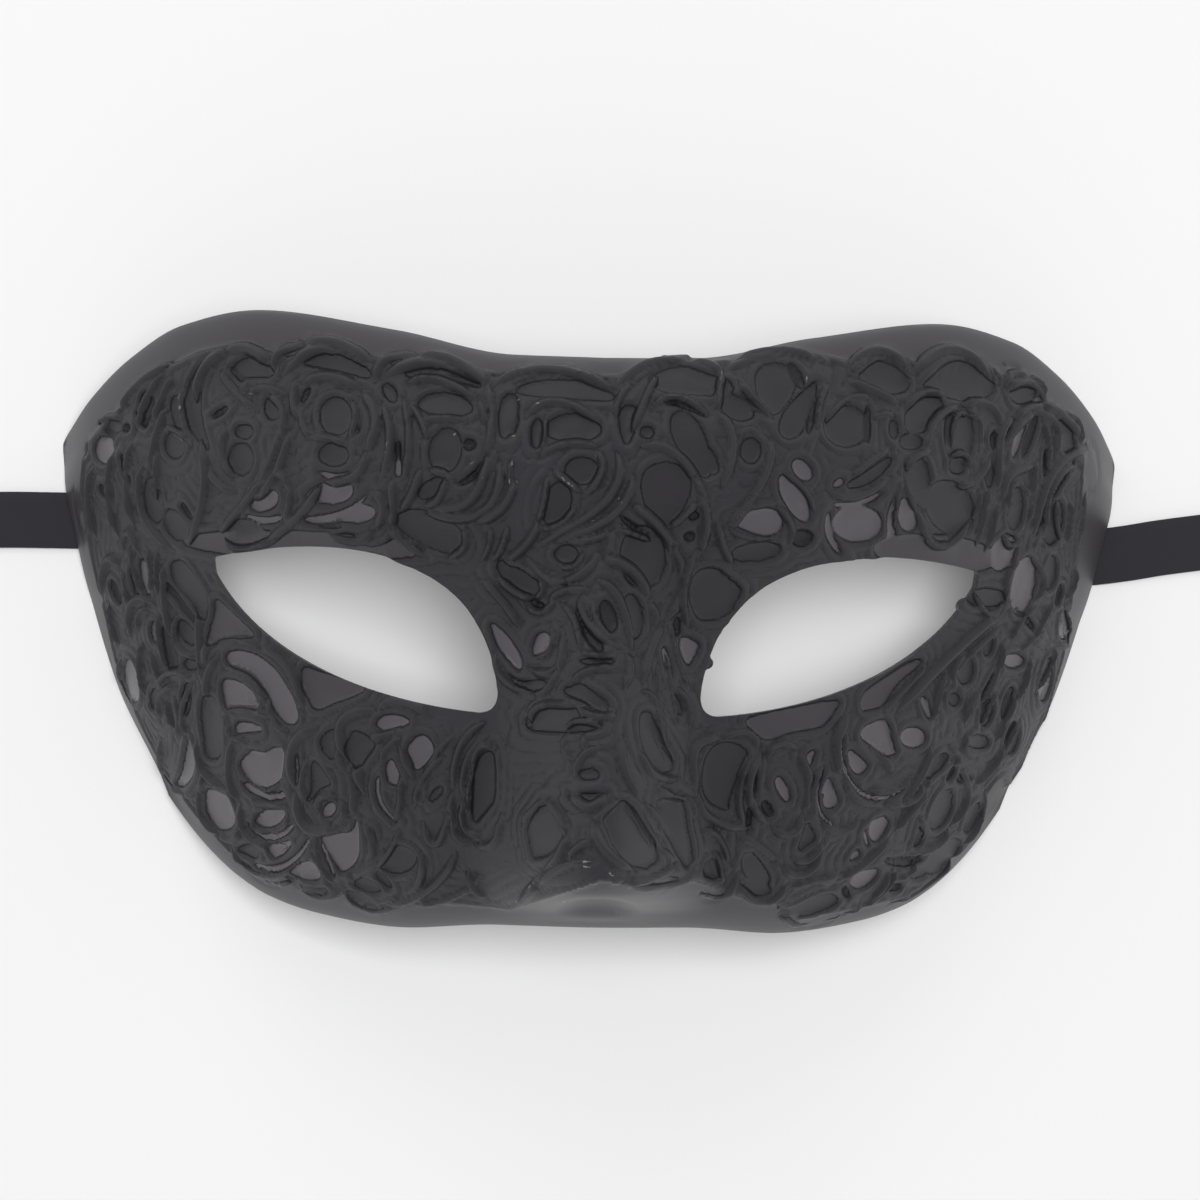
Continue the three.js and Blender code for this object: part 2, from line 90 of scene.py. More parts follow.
# Nose ridge: height share, rise and half breadth as shares
NOSE_RISE = [
    (-0.478, 0), (-0.46, 0.12), (-0.445, 0.42), (-0.43, 0.74), (-0.412, 0.94), (-0.388, 1), (-0.34, 0.92),
    (-0.279, 0.77), (-0.179, 0.56), (-0.079, 0.375), (0.01, 0.21), (0.1, 0.08), (0.18, 0),
]
NOSE_HALF = [
    (-0.478, 0.48), (-0.46, 0.49), (-0.445, 0.5), (-0.43, 0.5), (-0.412, 0.5), (-0.388, 0.5), (-0.34, 0.49),
    (-0.279, 0.45), (-0.179, 0.41), (-0.079, 0.375), (0.01, 0.34), (0.1, 0.3), (0.18, 0.27),
]
# Swells: place, spread and rise of the eye socket, the brow and the cheek
SWELLS = [
    (0.215, 0, 0.14, 0.12, -4.5),
    (0.2, 0.25, 0.16, 0.1, 2),
    (0.25, -0.3, 0.1, 0.13, 2.5),
]
# Temple edge: share up the edge, lift off the table
TEMPLE_EDGE = [
    (0, 4.7), (0.1, 1.2), (0.2, 0), (0.53, 0), (0.61, 1.7), (0.67, 2.4), (0.83, 2.4), (0.885, 1.9), (0.945, 0),
    (1, 0),
]


def through(rows, at):
    """Smooth curve through a table's rows, which never overshoots one."""
    places, values = np.array(rows, float).T
    at = np.clip(at, places[0], places[-1])
    span, rise = np.diff(places), np.diff(values)
    slope = rise / span
    inner = np.where(
        slope[:-1] * slope[1:] > 0,
        2 * slope[:-1] * slope[1:] / np.where(slope[:-1] + slope[1:] == 0, 1, slope[:-1] + slope[1:]),
        0,
    )
    tangent = np.concatenate([slope[:1], inner, slope[-1:]])
    i = np.searchsorted(places[1:-1], at, side="left")
    t = (at - places[i]) / span[i]
    before = tangent[i] * span[i] - rise[i]
    after = tangent[i + 1] * span[i] - rise[i]
    return values[i] + rise[i] * t + t * (1 - t) * (before * (1 - t) - after * t)


def smoothstep(value, low, high):
    t = np.clip((value - low) / (high - low), 0, 1)
    return t * t * (3 - 2 * t)


def side_angle(up):
    return JAW_ANGLE + (TEMPLE_ANGLE - JAW_ANGLE) * smoothstep(up, 0, JAW_SETTLES)


def rim_at(angle, y):
    """Share across and share up of a place, and its distances from the rim above and below it."""
    up = 0.5
    for _ in range(3):
        across = np.minimum(np.abs(angle) / side_angle(up), 1)
        top = through(RIM_TOP, across) * MASK_HEIGHT
        bottom = through(RIM_BOTTOM, across) * MASK_HEIGHT
        up = np.clip((y - bottom) / (top - bottom), 0, 1)
    return across, up, top - y, y - bottom


def rolled_rim(distance):
    share = np.maximum(1 - np.maximum(distance, 0) / RIM_ROLL_WIDTH, 0)
    return RIM_ROLL_DROP * (1 - np.sqrt(np.maximum(1 - RIM_ROLL_STEEPNESS * share * share, 0)))


def nose_rise(x, y):
    share = y / MASK_HEIGHT
    rise = np.maximum(through(NOSE_RISE, share), 0) * NOSE_HEIGHT
    off = np.minimum(np.abs(x) / (through(NOSE_HALF, share) * NOSE_WIDTH), 1)
    return rise * np.cos(np.pi / 2 * off) ** 2


def swell_rise(x, y):
    rise = 0
    for place_x, place_y, spread_x, spread_y, height in SWELLS:
        across = (np.abs(x) / MASK_WIDTH - place_x) / spread_x
        along = (y / MASK_HEIGHT - place_y) / spread_y
        rise = rise + height * np.exp(-across * across - along * along)
    return rise


def face_point(angle, y):
    """Points of the plain outer face at an angle round the head and a height."""
    share = y / MASK_HEIGHT
    turn = np.radians(angle)
    x = through(BREADTH, share) * MASK_WIDTH / 2 * np.sin(turn)
    depth = through(DEPTH, share) * FACE_DEPTH
    across, up, above, below = rim_at(angle, y)
    roll = rolled_rim(above) + rolled_rim(below)
    z = depth * np.cos(turn) ** FACE_FULLNESS + nose_rise(x, y)
    z = z + (swell_rise(x, y) - roll) * np.cos(turn)
    edge_height = depth * np.cos(np.radians(side_angle(up))) ** FACE_FULLNESS
    z = z + (through(TEMPLE_EDGE, up) - edge_height) * smoothstep(across, EDGE_STARTS, 1)
    return np.stack([x, y + 0 * x, np.maximum(z, 0)], -1)


def face_normal(angle, y):
    west = face_point(np.maximum(angle - NORMAL_STEP, -TEMPLE_ANGLE), y)
    east = face_point(np.minimum(angle + NORMAL_STEP, TEMPLE_ANGLE), y)
    rise = face_point(angle, y + NORMAL_STEP) - face_point(angle, y - NORMAL_STEP)
    normal = np.cross(east - west, rise)
    return normal / np.linalg.norm(normal, axis=-1, keepdims=True)


def angle_at(x, y):
    breadth = through(BREADTH, y / MASK_HEIGHT) * MASK_WIDTH / 2
    edge = math.sin(math.radians(TEMPLE_ANGLE))
    return np.degrees(np.arcsin(np.clip(x / breadth, -edge, edge)))


# ---- The camera, which is also the eye of the relief's chart
CHART_SIZE = 1200
CAMERA_AT = np.array([-22.8, 4.05, 700.0])
LOOKS_AT = np.array([1.97, 4.05, 0.0])
CAMERA_ROLL = 1.05
CHART_UNITS_PER_MM = 1052.8 / MASK_WIDTH
SENSOR_MM = 36.0

REACH = float(np.linalg.norm(LOOKS_AT - CAMERA_AT))
FOCAL_UNITS = REACH * CHART_UNITS_PER_MM


def camera_axes():
    """Right, up and backward directions of the camera."""
    backward = (CAMERA_AT - LOOKS_AT) / REACH
    level = np.array([backward[2], 0, -backward[0]])
    level = level / np.linalg.norm(level)
    upright = np.cross(backward, level)
    roll = math.radians(CAMERA_ROLL)
    right = math.cos(roll) * level + math.sin(roll) * upright
    up = math.cos(roll) * upright - math.sin(roll) * level
    return right, up, backward


def chart_of(points):
    """Chart places (x to the right, y down) of points in millimetres."""
    right, up, backward = camera_axes()
    off = points - CAMERA_AT
    depth = -(off @ backward)
    middle = CHART_SIZE / 2
    return middle + off @ right / depth * FOCAL_UNITS, middle - off @ up / depth * FOCAL_UNITS


CHART_PASSES = 16
CHART_STRIDE = 0.7


def on_face(chart_x, chart_y):
    """Angle and height of the places of the face that the chart shows there."""
    right, up, backward = camera_axes()
    middle = CHART_SIZE / 2
    ray = (
        ((np.asarray(chart_x, float) - middle) / FOCAL_UNITS)[..., None] * right
        - ((np.asarray(chart_y, float) - middle) / FOCAL_UNITS)[..., None] * up
        - backward
    )
    ray = ray / -ray[..., 2:]
    on_table = CAMERA_AT + ray * CAMERA_AT[2]
    guess = on_table[..., :2].copy()
    for _ in range(CHART_PASSES):
        point = face_point(angle_at(guess[..., 0], guess[..., 1]), guess[..., 1])
        wanted = on_table - ray * point[..., 2:]
        guess = guess + (wanted - point)[..., :2] * CHART_STRIDE
    return angle_at(guess[..., 0], guess[..., 1]), guess[..., 1]


# ---- Relief, in chart units. Angles run clockwise from the right
# Hollows between the ridges: place, half length, half width, angle of the length, bow of the middle to the right
# of the length, taper towards the length's end, and gloss (0 dark slit, 1 satin, 2 bright). The gloss also lightens
# the floor's colour, as a painted reflection
HOLLOWS = [
    (107, 450, 12, 8, 90, 0, 0, 2), (117, 427, 6, 6, 0, 0, 0, 1), (113, 434, 7, 3, 55, 0, 0, 0),
    (149, 406, 14, 6, 95, 0, 0, 1), (145, 419, 9, 4, 60, 0, 0, 0), (129, 428, 4, 3, 0, 0, 0, 0),
    (180, 413, 15, 6, 80, 0, 0, 1), (177, 445, 12, 9, 85, 0, 0, 1), (207, 405, 40, 7, 90, 12, 0, 1),
    (255, 371, 19, 9, 0, -3, 0, 1), (239, 375, 9, 3, 45, 0, 0, 0), (275, 408, 11, 8, 90, 0, 0, 1),
    (243, 459, 14, 11, 90, 0, 0, 1), (246, 432, 8, 6, 0, 0, 0, 1), (222, 413, 9, 2.5, -32, 0, 0, 0),
    (266, 500, 13, 9, -25, 0, 0, 2), (267, 516, 17, 3, 0, 4, 0, 2), (246, 527, 16, 7, 5, 0, 0.2, 1),
    (156, 500, 20, 8, 80, 0, 0, 1), (178, 525, 15, 9, 60, 0, 0, 1), (189, 511, 9, 2.5, 60, 0, 0, 0),
    (128, 470, 16, 3, 75, 0, 0, 0), (106, 491, 7, 3, 60, 0, 0, 0), (85, 521, 11, 4, 80, 0, 0, 0),
    (88, 448, 7, 3, 90, 0, 0, 0), (334, 366, 35, 9, 14, -6, 0.15, 1), (337, 417, 17, 14, 90, 0, 0, 1),
    (358, 424, 9, 3, 90, 0, 0, 1), (335, 455, 13, 10, 5, 0, 0, 1), (338, 473, 15, 3, 0, 4, 0, 2),
    (331, 492, 21, 10, -10, 0, -0.3, 2), (338, 508, 30, 3.5, -22, 7, 0.5, 2), (307, 396, 8, 2.5, -60, 0, 0, 0),
    (354, 514, 20, 7, -8, 0, -0.4, 2), (332, 525, 11, 2, 0, 0, 0, 0), (391, 394, 9, 5, 60, 0, 0, 1),
    (430, 375, 22, 4, 5, -5, 0, 1), (462, 382, 20, 4, 15, -2, 0, 0), (446, 407, 24, 10, 5, -2, 0, 1),
    (425, 375, 16, 4.5, 0, -2, 0, 1), (446, 451, 20, 14, 100, 0, 0, 1), (432, 488, 13, 7, -35, 0, 0, 1),
    (473, 470, 20, 2.5, -45, 5, 0, 0), (470, 445, 6, 5, 0, 0, 0, 0), (432, 532, 34, 15, 25, -3, 0, 1),
    (399, 468, 8, 2.5, 90, 0, 0, 2), (399, 452, 10, 2.5, 90, 0, 0, 0), (550, 380, 58, 4, 2, -10, 0, 0),
    (566, 394, 44, 8, 4, -4, 0, 1), (573, 430, 25, 12, 0, -2, 0, 1), (508, 417, 20, 8, 100, 0, 0.2, 1),
    (515, 426, 10, 2, 108, 0, 0, 0), (537, 434, 13, 5, 95, 0, 0, 1), (582, 471, 15, 12, 0, 0, 0, 1),
    (557, 504, 20, 12, 105, 0, 0, 1), (628, 425, 17, 8, 95, 0, 0.4, 1), (692, 445, 32, 13, 65, 0, 0.2, 1),
    (647, 433, 6, 5, 0, 0, 0, 1), (665, 494, 28, 21, 95, 0, 0.3, 1), (690, 386, 38, 12, 5, -4, 0, 1),
    (682, 410, 24, 2.5, 18, -4, 0, 0), (640, 526, 22, 2.5, 27, 4, 0, 0), (642, 557, 28, 20, 90, 0, 0, 1),
    (693, 515, 5, 4, 0, 0, 0, 0), (689, 536, 5, 4, 0, 0, 0, 0), (567, 554, 10, 8, 0, 0, 0, 1),
    (563, 578, 22, 2.5, 0, 7, 0, 0), (520, 577, 23, 10, 35, 0, 0, 1), (541, 602, 15, 2.5, 30, 3, 0, 0),
    (608, 617, 16, 7, 75, 0, 0, 0), (631, 617, 20, 9, 85, 0, 0, 1), (590, 630, 25, 7, 65, 0, 0, 0),
    (598, 662, 14, 2.5, 0, 0, 0, 1), (665, 663, 14, 3, 78, 0, 0, 2), (676, 626, 9, 3, 90, 0, 0, 0),
    (674, 704, 10, 4, 65, 0, 0, 1), (565, 722, 33, 13, 0, -4, 0, 1), (736, 409, 16, 10, 25, 0, 0, 1),
    (752, 404, 16, 3, 45, 0, 0, 0), (774, 390, 23, 17, 95, 0, 0.3, 1), (709, 461, 13, 6, 65, 0, 0, 1),
    (795, 377, 14, 5, 60, 0, 0, 0), (799, 411, 28, 10, -60, 0, 0.45, 1), (812, 415, 20, 3, 105, 0, 0, 0),
    (750, 451, 11, 9, 90, 0, 0, 1), (882, 378, 24, 13, 20, 0, 0, 1), (866, 425, 18, 2.5, 90, 0, 0, 0),
    (845, 427, 20, 18, 0, 0, 0, 1), (892, 430, 8, 4, 90, 0, 0, 1), (801, 470, 11, 7, 50, 0, 0, 2),
    (793, 498, 23, 9, 60, 0, 0, 2), (837, 483, 5, 3, -30, 0, 0, 2), (868, 473, 23, 5, -33, 3, 0, 1),
    (856, 499, 22, 2.5, -14, 4, 0, 2), (856, 523, 22, 16, 0, 0, 0, 2), (832, 532, 19, 3, 75, 4, 0, 2),
    (893, 520, 24, 4, 95, 3, 0, 2), (757, 521, 22, 11, 0, 0, -0.4, 2), (755, 551, 22, 8, -8, 0, 0, 1),
    (800, 537, 11, 8, 0, 0, 0, 0), (905, 514, 15, 7, 80, 0, -0.4, 2), (955, 380, 35, 18, 0, 0, -0.4, 1),
    (922, 415, 20, 13, -45, 0, 0, 1), (909, 442, 10, 7, 0, 0, 0, 1), (957, 435, 26, 13, 90, 0, 0, 1),
    (955, 467, 7, 6, 0, 0, 0, 1), (917, 483, 25, 10, 78, 0, 0.4, 1), (948, 507, 25, 20, 60, 0, 0, 1),
    (932, 537, 16, 2.5, 36, 3, 0, 0), (987, 473, 12, 4, 90, 0, 0, 1), (992, 441, 8, 4, 90, 0, 0, 0),
    (1020, 394, 12, 9, 0, 0, 0, 1), (1008, 368, 15, 2.5, 10, -3, 0, 0), (1007, 430, 14, 3, -60, 0, 0, 0),
    (1027, 437, 22, 3.5, -70, 0, 0, 0), (1043, 462, 14, 3, 95, 0, 0, 0), (1016, 440, 16, 3, -72, 0, 0, 2),
    (1063, 437, 16, 7, 75, 0, 0, 1), (1013, 508, 19, 7, 95, 0, 0, 1), (1051, 522, 20, 8, 100, 0, 0, 1),
    (1052, 498, 42, 3, 118, 4, 0, 0), (182, 601, 30, 3, 52, 0, 0, 0), (189, 632, 12, 6, 60, 0, 0, 1),
    (194, 664, 7, 5, 0, 0, 0, 1), (172, 650, 21, 6, 75, 0, 0, 1), (157, 631, 9, 3, 85, 0, 0, 2),
    (148, 576, 16, 4, 80, 0, 0, 2), (138, 583, 15, 3, 78, 0, 0, 1), (119, 591, 12, 4, 68, 0, 0, 0),
    (134, 680, 19, 6, 80, 0, 0, 2), (157, 698, 9, 4, 90, 0, 0, 1), (189, 698, 14, 4, 95, 0, 0, 1),
    (331, 809, 7, 5, -50, 0, 0, 2), (372, 834, 6, 2.5, 90, 0, 0, 1), (369, 884, 12, 5, 15, 0, 0, 1),
    (362, 897, 14, 4, 25, 0, 0, 1), (385, 878, 9, 3, 45, 0, 0, 1), (398, 858, 17, 12, 0, 0, 0, 1),
    (298, 767, 16, 2, 90, 0, 0, 2), (437, 793, 8, 3, -45, 0, 0, 1), (590, 775, 8, 5, 0, 0, 0, 1),
    (588, 798, 16, 6, 0, 3, 0, 1), (751, 795, 35, 2.5, 97, 0, 0, 0), (766, 808, 8, 4, 60, 0, 0, 0),
    (844, 890, 6, 2.5, 60, 0, 0, 0), (711, 868, 9, 8, 0, 0, 0, 1), (754, 885, 14, 7, 15, 0, 0, 1),
    (911, 737, 11, 9, 0, 0, 0, 2), (948, 773, 7, 2.5, -60, 0, 0, 0), (990, 803, 24, 8, -65, 0, 0, 1),
    (976, 741, 9, 6, 0, 0, 0, 1), (1009, 737, 14, 6, -80, 0, 0, 1), (961, 777, 6, 3.5, 0, 0, 0, 1),
    (900, 858, 18, 3, 0, 4, 0, 0), (940, 855, 20, 9, -45, 0, 0, 1), (893, 886, 6, 3, -20, 0, 0, 0),
    (918, 870, 10, 5, -25, 0, 0, 1), (1001, 552, 17, 10, 110, 0, 0, 2), (1021, 585, 26, 10, 100, 0, 0, 2),
    (1022, 616, 16, 2.5, 53, 0, 0, 0), (1048, 572, 15, 5, 98, 0, 0, 1), (1056, 594, 10, 3, 100, 0, 0, 0),
    (1062, 624, 13, 5, 95, 0, 0, 2), (985, 597, 18, 8, 0, 0, 0, 1), (1011, 660, 9, 6, 0, 0, 0, 2),
    (1043, 679, 19, 5, 100, 0, 0, 2), (963, 670, 12, 7, 95, 0, 0, 1), (986, 645, 9, 4, 100, 0, 0, 1),
    (924, 707, 10, 3, 70, 0, 0, 2), (984, 712, 12, 5, 105, 0, 0, 1), (1005, 702, 14, 5, 105, 0, 0, 1),
    (988, 682, 20, 2.5, -62, 0, 0, 0), (952, 699, 5, 5, 0, 0, 0, 1),
]
# Hollows of a freer outline: gloss and outline
PANES = [
    (2, [(244, 758), (242, 765), (246, 773), (253, 782), (263, 787), (273, 786), (282, 780), (284, 773),
        (285, 762), (286, 752), (283, 747), (275, 747), (270, 751), (263, 752), (257, 750), (252, 750), (251, 753)]),
    (2, [(245, 782), (250, 790), (260, 796), (273, 799), (283, 798), (288, 796), (287, 791), (277, 793),
        (267, 792), (257, 787), (250, 781)]),
    (2, [(260, 815), (258, 820), (262, 825), (270, 827), (280, 824), (287, 815), (287, 810), (277, 809),
        (267, 809), (262, 812)]),
    (2, [(250, 825), (257, 833), (267, 838), (277, 839), (287, 835), (295, 827), (298, 821), (292, 825),
        (283, 831), (273, 833), (263, 832), (257, 828), (252, 822)]),
    (2, [(267, 844), (280, 842), (294, 839), (293, 843), (287, 852), (280, 856), (274, 855)]),
    (1, [(238, 848), (250, 843), (260, 845), (261, 852), (258, 858), (250, 855)]),
    (2, [(257, 865), (267, 869), (277, 870), (287, 868), (297, 860), (305, 852), (312, 840), (313, 835),
        (308, 842), (300, 852), (290, 860), (277, 865), (267, 865), (258, 862)]),
    (2, [(292, 870), (298, 864), (307, 860), (314, 860), (318, 865), (322, 873), (321, 878), (313, 879),
        (303, 877), (295, 873)]),
    (1, [(287, 875), (293, 876), (303, 882), (313, 887), (323, 887), (331, 887), (328, 891), (320, 892),
        (310, 892), (300, 888), (292, 881)]),
    (2, [(322, 835), (333, 833), (343, 832), (350, 832), (355, 828), (357, 820), (359, 818), (360, 827),
        (361, 852), (358, 860), (352, 867), (343, 871), (338, 865), (332, 855), (327, 848)]),
    (2, [(322, 840), (325, 852), (330, 863), (333, 873), (337, 873), (335, 867), (330, 857), (326, 848)]),
    (1, [(314, 761), (320, 763), (325, 772), (332, 780), (332, 784), (323, 787), (317, 793), (312, 801),
        (312, 793), (314, 783), (312, 770)]),
    (1, [(338, 729), (332, 730), (325, 735), (322, 742), (324, 750), (330, 757), (335, 760), (336, 750), (337, 738)]),
    (1, [(355, 730), (363, 733), (377, 740), (376, 747), (368, 757), (360, 769), (355, 765), (348, 757),
        (347, 748), (350, 738)]),
    (2, [(377, 723), (383, 716), (393, 714), (403, 716), (412, 721), (408, 725), (397, 727), (388, 730), (380, 728)]),
    (2, [(407, 749), (413, 740), (422, 734), (430, 737), (435, 748), (436, 753), (428, 762), (417, 772), (412, 758)]),
    (2, [(387, 767), (390, 760), (394, 759), (398, 768), (401, 775), (400, 783), (396, 785), (390, 782), (387, 773)]),
    (2, [(381, 773), (377, 782), (377, 793), (380, 803), (387, 813), (397, 821), (400, 820), (393, 815),
        (385, 805), (381, 795), (380, 785)]),
    (2, [(228, 655), (232, 651), (240, 650), (253, 652), (267, 660), (278, 670), (288, 685), (297, 702),
        (301, 717), (298, 723), (292, 725), (283, 720), (275, 707), (268, 690), (258, 677), (247, 670),
        (235, 666), (229, 662)]),
    (2, [(224, 682), (228, 678), (238, 680), (248, 685), (257, 695), (263, 710), (255, 708), (245, 706),
        (235, 707), (228, 707), (225, 695)]),
    (2, [(237, 728), (240, 722), (247, 721), (257, 724), (266, 728), (262, 731), (248, 732), (238, 733)]),
    (1, [(173, 563), (180, 559), (187, 562), (195, 572), (203, 585), (210, 600), (210, 612), (207, 620),
        (202, 618), (197, 607), (190, 598), (180, 588), (173, 577)]),
    (1.5, [(212, 647), (209, 638), (212, 627), (216, 612), (217, 596), (230, 608), (243, 621), (259, 635),
        (247, 638), (235, 637), (223, 638)]),
    (1.5, [(303, 665), (320, 671), (345, 679), (372, 688), (352, 698), (335, 703), (318, 712), (310, 700),
        (303, 685)]),
    (1, [(203, 700), (208, 694), (217, 697), (222, 707), (224, 725), (224, 745), (222, 758), (208, 758),
        (206, 740), (203, 720)]),
    (2, [(191, 737), (193, 742), (196, 753), (197, 765), (195, 775), (190, 782), (184, 787), (178, 782),
        (183, 773), (186, 760), (188, 747)]),
    (2, [(210, 787), (207, 795), (208, 807), (212, 817), (218, 826), (225, 830), (235, 827), (238, 818),
        (235, 807), (230, 795), (223, 792)]),
    (1.5, [(858, 703), (862, 693), (875, 683), (892, 672), (905, 663), (917, 659), (920, 662), (915, 668),
        (903, 677), (893, 687), (887, 698), (880, 707), (867, 710), (860, 711)]),
    (2, [(857, 736), (862, 727), (872, 722), (882, 719), (887, 725), (889, 737), (892, 747), (895, 753),
        (885, 756), (878, 754), (868, 745)]),
    (2, [(847, 748), (857, 755), (866, 764), (865, 768), (857, 775), (850, 770), (846, 760)]),
    (2, [(827, 776), (830, 785), (836, 795), (837, 802), (830, 808), (823, 807), (821, 800), (824, 793),
        (819, 795), (822, 785)]),
    (2, [(823, 767), (818, 775), (814, 790), (814, 803), (818, 815), (827, 823), (832, 824), (823, 817),
        (818, 807), (816, 793), (819, 778)]),
    (2, [(839, 732), (838, 750), (840, 767), (846, 781), (856, 793), (870, 799), (885, 798), (898, 791),
        (905, 784), (897, 789), (885, 795), (870, 796), (858, 790), (849, 780), (842, 766), (840, 750)]),
    (2, [(773, 780), (776, 776), (780, 777), (787, 787), (789, 797), (786, 802), (780, 797), (775, 788)]),
    (2, [(804, 757), (807, 752), (814, 750), (813, 755), (810, 763), (807, 766)]),
    (1, [(805, 821), (810, 827), (815, 838), (807, 844), (798, 849), (797, 845), (802, 833)]),
    (2, [(867, 823), (873, 818), (883, 815), (887, 822), (882, 832), (875, 841), (870, 840), (867, 833)]),
    (2, [(861, 829), (863, 828), (867, 843), (864, 844)]),
    (2, [(854, 848), (858, 851), (857, 856), (850, 859), (848, 858), (851, 851)]),
    (2, [(847, 880), (857, 870), (867, 868), (875, 867), (876, 873), (868, 882), (857, 888), (850, 885)]),
    (1, [(776, 908), (790, 907), (803, 900), (817, 894), (830, 892), (837, 897), (835, 902), (823, 908),
        (807, 914), (790, 915), (778, 915)]),
    (1, [(740, 855), (750, 850), (757, 858), (765, 868), (770, 878), (767, 883), (760, 883), (752, 878), (742, 873)]),
    (1, [(700, 783), (701, 767), (708, 750), (720, 742), (733, 742), (748, 751), (742, 760), (737, 772),
        (732, 788), (728, 798), (727, 810), (720, 808), (708, 802), (702, 793)]),
    (1.5, [(742, 720), (753, 733), (762, 739), (770, 740), (783, 734), (797, 731), (817, 728), (825, 723),
        (832, 713), (840, 700), (820, 702), (790, 708), (760, 714)]),
    (1, [(928, 823), (927, 813), (931, 802), (938, 792), (947, 788), (950, 793), (950, 807), (945, 818),
        (937, 827), (930, 829)]),
    (1, [(960, 825), (963, 813), (972, 803), (978, 802), (977, 813), (973, 823), (967, 832), (962, 830)]),
    (1, [(910, 847), (914, 833), (916, 823), (920, 835), (918, 843)]),
    (1, [(922, 773), (930, 762), (938, 753), (945, 753), (946, 757), (940, 767), (930, 775), (925, 778)]),
    (1, [(883, 861), (893, 857), (905, 856), (917, 852), (915, 857), (900, 862), (890, 863)]),
    (2, [(678, 637), (687, 637), (697, 643), (697, 648), (688, 666), (683, 662), (678, 650)]),
    (1, [(688, 590), (695, 570), (714, 566), (725, 576), (740, 587), (739, 595), (732, 605), (731, 611),
        (714, 620), (698, 620), (690, 606)]),
    (1, [(563, 691), (575, 685), (583, 684), (590, 690), (600, 697), (608, 704), (607, 712), (603, 713),
        (597, 711), (587, 704), (573, 697)]),
    (2, [(491, 622), (498, 625), (510, 638), (517, 647), (524, 660), (524, 668), (520, 671), (512, 663),
        (502, 652), (495, 638)]),
    (1, [(520, 683), (535, 680), (547, 681), (549, 687), (543, 692), (530, 691), (517, 683), (507, 672)]),
    (2, [(537, 638), (543, 632), (550, 633), (552, 642), (548, 652), (540, 656), (533, 654)]),
    (1, [(548, 803), (555, 810), (562, 822), (566, 832), (562, 842), (552, 855), (542, 857), (535, 858),
        (532, 845), (528, 827), (538, 815)]),
    (1, [(623, 800), (628, 807), (637, 820), (643, 832), (652, 843), (657, 857), (653, 863), (642, 868),
        (628, 865), (617, 853), (610, 842), (605, 827), (602, 820), (607, 813), (617, 803)]),
    (1, [(650, 800), (677, 798), (683, 807), (685, 827), (690, 847), (690, 863), (683, 867), (675, 855),
        (668, 842), (660, 827)]),
    (1, [(638, 713), (647, 712), (650, 715), (655, 730), (660, 743), (668, 758), (672, 765), (668, 772),
        (660, 773), (650, 765), (642, 752), (637, 733)]),
    (1, [(487, 751), (495, 752), (497, 775), (497, 800), (490, 808), (477, 823), (473, 817), (474, 793),
        (475, 770), (480, 757)]),
]
# Plain places of the face at the eye holes, charted as the hollows are
PLAIN_AT_EYES = [(305, 545, 108, 13, 2, 0, 0, 1.5), (935, 553, 56, 17, 5, 0, 0, 1.5)]
# Scallops of the brow's edge: from, to, bow (of the middle, to the left of the way), width
SCALLOPS = [
    (283, 378, 379, 372, 27, 13), (381, 380, 490, 387, 20, 13), (494, 391, 614, 393, 21, 14),
    (615, 397, 722, 378, 24, 15), (724, 374, 832, 366, 15, 12), (846, 382, 914, 376, 24, 13),
    (914, 390, 997, 386, 34, 14), (999, 393, 1046, 406, 18, 11), (1001, 448, 1084, 448, 40, 12),
]
